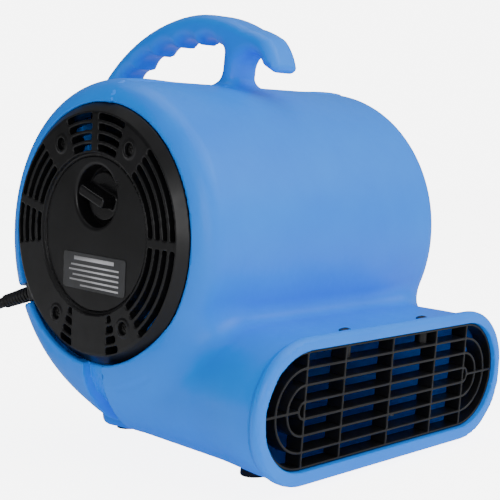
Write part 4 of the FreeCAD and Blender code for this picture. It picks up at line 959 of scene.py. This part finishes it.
# each slot of the record, and the print on the plate: the arguments that surface() takes
SURFACES = {
    "black_cover": ("satin_black", BLACK, (0.30, 0.42), (1800.0, 0.25, 0.00008), (90.0, 0.1, 0.0003), 0.0),
    "dark_screw": (
        "black_zinc", ((0.02, 0.02, 0.02), (0.05, 0.05, 0.05)), (0.3, 0.5),
        (2500.0, 0.2, 0.00003), (300.0, 0.1, 0.0001), 0.8,
    ),
    "plate_grey": (
        "plate_film", ((0.035, 0.036, 0.038), (0.05, 0.051, 0.054)), (0.35, 0.5),
        (1200.0, 0.1, 0.00003), (60.0, 0.1, 0.0002), 0.0,
    ),
    "plate_print": (
        "plate_ink", ((0.35, 0.35, 0.36), (0.5, 0.5, 0.52)), (0.4, 0.6),
        (1500.0, 0.1, 0.00002), (60.0, 0.05, 0.0001), 0.0,
    ),
    "knob_black": ("gloss_black", BLACK, (0.18, 0.28), (900.0, 0.12, 0.00004), (120.0, 0.1, 0.0002), 0.0),
    "switch_black": ("phenolic", BLACK, (0.4, 0.6), (900.0, 0.2, 0.00005), (90.0, 0.1, 0.0002), 0.0),
    "ring_black": ("ring_black", BLACK, (0.35, 0.5), (1200.0, 0.2, 0.00005), (90.0, 0.1, 0.0002), 0.0),
    "grille_black": (
        "grille_black", BLACK, (0.30, 0.45),
        (1500.0, 0.25, 0.00006), (110.0, 0.1, 0.0002), 0.0,
    ),
    "foot_rubber": ("foot_rubber", BLACK, (0.55, 0.75), (700.0, 0.4, 0.0001), (90.0, 0.1, 0.0002), 0.0),
    "bright_screw": (
        "zinc", ((0.5, 0.5, 0.5), (0.62, 0.62, 0.6)), (0.25, 0.4),
        (2500.0, 0.2, 0.00003), (300.0, 0.1, 0.0001), 1.0,
    ),
    "capacitor_grey": (
        "case_grey", ((0.18, 0.18, 0.19), (0.22, 0.22, 0.23)), (0.4, 0.6),
        (900.0, 0.2, 0.00005), (90.0, 0.1, 0.0002), 0.0,
    ),
    "cord_rubber": ("cord_jacket", BLACK, (0.42, 0.6), (1300.0, 0.4, 0.00008), (150.0, 0.2, 0.0003), 0.0),
    "motor_steel": (
        "punched_steel", ((0.35, 0.35, 0.36), (0.45, 0.45, 0.46)), (0.3, 0.5),
        (1500.0, 0.3, 0.00005), (90.0, 0.1, 0.0002), 1.0,
    ),
    "motor_bell": (
        "pressed_aluminium", ((0.5, 0.5, 0.52), (0.6, 0.6, 0.62)), (0.3, 0.45),
        (1500.0, 0.3, 0.00005), (90.0, 0.1, 0.0002), 1.0,
    ),
    "winding_copper": (
        "copper", ((0.55, 0.22, 0.08), (0.7, 0.32, 0.12)), (0.25, 0.4),
        (1800.0, 0.6, 0.0002), (200.0, 0.3, 0.0004), 1.0,
    ),
    "bearing_steel": (
        "ground_steel", ((0.55, 0.55, 0.57), (0.65, 0.65, 0.67)), (0.12, 0.25),
        (2500.0, 0.1, 0.00002), (90.0, 0.05, 0.0001), 1.0,
    ),
    "rotor_steel": (
        "rotor_steel", ((0.3, 0.3, 0.3), (0.4, 0.4, 0.4)), (0.35, 0.5),
        (1500.0, 0.3, 0.00005), (90.0, 0.1, 0.0002), 1.0,
    ),
    "wheel_black": (
        "wheel_black", ((0.02, 0.02, 0.022), (0.03, 0.03, 0.032)), (0.35, 0.5),
        (1200.0, 0.2, 0.00005), (90.0, 0.1, 0.0002), 0.0,
    ),
    "relief_rubber": (
        "relief_rubber", BLACK, (0.4, 0.55),
        (1300.0, 0.3, 0.00006), (150.0, 0.1, 0.0002), 0.0,
    ),
    "tie_black": ("tie_strap", BLACK, (0.5, 0.7), (2200.0, 0.5, 0.0001), (150.0, 0.1, 0.0002), 0.0),
    "plug_rubber": ("plug_rubber", BLACK, (0.4, 0.55), (1300.0, 0.3, 0.00006), (150.0, 0.1, 0.0002), 0.0),
    "pin_brass": (
        "pin_brass", ((0.6, 0.45, 0.2), (0.72, 0.55, 0.26)), (0.2, 0.35),
        (2000.0, 0.1, 0.00002), (150.0, 0.05, 0.0001), 1.0,
    ),
}


def make_materials():
    """One material for each slot, and one for the print on the plate."""
    made = {slot: surface(*values) for slot, values in SURFACES.items()}
    made["blue_shell"] = moulded_blue()
    return made


MATERIALS = {}


def finish_piece(piece, body_name, slot_name):
    """Gives a piece its material and its place on a CAD body."""
    piece.data.materials.clear()
    piece.data.materials.append(MATERIALS[slot_name])
    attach(piece, body_name)
    return piece


def dress_cad_nodes():
    """Every CAD node that still shows gets its slot's material."""
    for subpart in frame["record"]["subparts"]:
        node = frame["nodes"][subpart["node"]]
        node.data.materials.clear()
        node.data.materials.append(MATERIALS[subpart["material_slot"]])


# ---------------------------------------------------------------- stage, light and camera


# strengths of the pale stage: what the camera sees, what the floor gives off, and what light adds to it
BACKDROP = 6.0
FLOOR_GLOW = 0.55
FLOOR_LIT = 0.7


def make_floor():
    """A plain pale floor, lit a little from within like a light table."""
    data = bpy.data.meshes.new("studio_floor")
    data.from_pydata([(-9, -9, 0), (9, -9, 0), (9, 9, 0), (-9, 9, 0)], [], [(0, 1, 2, 3)])
    floor = bpy.data.objects.new("studio_floor", data)
    bpy.context.scene.collection.objects.link(floor)
    material, tree, shader = node_tree("pale_floor")
    shader.inputs["Roughness"].default_value = 0.7
    shader.inputs["Specular IOR Level"].default_value = 0.1
    shade = ramp(tree, noise(tree, 3.0), 0.3, 0.7, 0.0, 1.0)
    tree.links.new(mixed(tree, shade, (0.80, 0.80, 0.81), (0.82, 0.82, 0.82)), shader.inputs["Base Color"])
    seen = add(tree, "ShaderNodeLightPath")
    lit = ramp(tree, seen.outputs["Is Diffuse Ray"], 0.0, 1.0, 0.0, FLOOR_GLOW)
    shown = ramp(tree, seen.outputs["Is Camera Ray"], 0.0, 1.0, 0.0, BACKDROP)
    glow = tree.nodes.new("ShaderNodeMath")
    tree.links.new(lit, glow.inputs[0])
    tree.links.new(shown, glow.inputs[1])
    shader.inputs["Emission Color"].default_value = (1.0, 1.0, 1.0, 1.0)
    tree.links.new(glow.outputs["Value"], shader.inputs["Emission Strength"])
    floor.data.materials.append(material)


# the three soft lights: place, size and power; all point at the middle of the machine
LIGHTS = {
    "key": ((0.9, -1.7, 1.5), (1.8, 1.4), 20.0),
    "side": ((-1.7, -1.5, 0.7), (1.4, 1.2), 18.0),
    "top": ((0.1, 0.3, 2.2), (1.4, 1.4), 14.0),
}
LIGHT_AIM = (0.0, 0.0, 0.14)
SUN_FROM = (0.25, -0.5, 0.83)
SUN_POWER = 0.8
SUN_ANGLE = math.radians(50.0)


def area_light(name, place, size, power):
    """A soft oblong light at place that points at the machine."""
    data = bpy.data.lights.new(name, "AREA")
    data.shape = "RECTANGLE"
    data.size, data.size_y = size
    data.energy = power
    light = bpy.data.objects.new(name, data)
    light.location = place
    light.rotation_euler = (Vector(LIGHT_AIM) - Vector(place)).to_track_quat("-Z", "Y").to_euler()
    bpy.context.scene.collection.objects.link(light)


def make_lights():
    """Three soft lights, a very soft sun and the pale world."""
    for name, values in LIGHTS.items():
        area_light(name, *values)
    sun = bpy.data.lights.new("daylight", "SUN")
    sun.energy = SUN_POWER
    sun.angle = SUN_ANGLE
    thing = bpy.data.objects.new("daylight", sun)
    thing.rotation_euler = Vector(SUN_FROM).to_track_quat("Z", "Y").to_euler()
    bpy.context.scene.collection.objects.link(thing)
    make_world()


def make_world():
    """A pale tent, bright in front of the machine and dim behind its knob's end."""
    world = bpy.data.worlds.new("studio")
    world.use_nodes = True
    tree = world.node_tree
    place = add(tree, "ShaderNodeTexCoord")
    facing = add(tree, "ShaderNodeVectorMath")
    facing.operation = "DOT_PRODUCT"
    facing.inputs[1].default_value = (0.45, -0.75, 0.48)
    tree.links.new(place.outputs["Generated"], facing.inputs[0])
    level = add(tree, "ShaderNodeMapRange")
    for name, value in (("From Min", -0.6), ("From Max", 1.0), ("To Min", 0.10), ("To Max", 0.5)):
        level.inputs[name].default_value = value
    tree.links.new(facing.outputs["Value"], level.inputs["Value"])
    seen = add(tree, "ShaderNodeLightPath")
    pick = add(tree, "ShaderNodeMix")
    pick.inputs["B"].default_value = BACKDROP + FLOOR_LIT
    tree.links.new(seen.outputs["Is Camera Ray"], pick.inputs["Factor"])
    tree.links.new(level.outputs["Result"], pick.inputs["A"])
    background = tree.nodes["Background"]
    background.inputs["Color"].default_value = (1.0, 1.0, 1.0, 1.0)
    tree.links.new(pick.outputs["Result"], background.inputs["Strength"])
    bpy.context.scene.world = world


CAMERA_PLACE = (-0.6117, -0.58275, 0.1925)
CAMERA_YAW = math.radians(43.16)
CAMERA_DIP = math.radians(3.89)
CAMERA_LENS = 85.2


def make_camera():
    """The camera, low on the near side and ahead of the machine."""
    data = bpy.data.cameras.new("camera")
    data.lens = CAMERA_LENS
    data.sensor_width = 36.0
    data.clip_start = 0.01
    camera = bpy.data.objects.new("camera", data)
    camera.location = CAMERA_PLACE
    look = Vector((
        math.cos(CAMERA_DIP) * math.cos(CAMERA_YAW),
        math.cos(CAMERA_DIP) * math.sin(CAMERA_YAW),
        -math.sin(CAMERA_DIP),
    ))
    camera.rotation_euler = look.to_track_quat("-Z", "Y").to_euler()
    bpy.context.scene.collection.objects.link(camera)
    bpy.context.scene.camera = camera


# ---------------------------------------------------------------- the scene


MATERIALS.update(make_materials())
dress_cad_nodes()
make_camera()
make_lights()
make_floor()
relief = make_relief()
cord = make_cord()
make_housing()
make_covers()
make_grille()
make_knob()
make_plate()
make_cover_screws()
make_grille_screws()
make_feet()
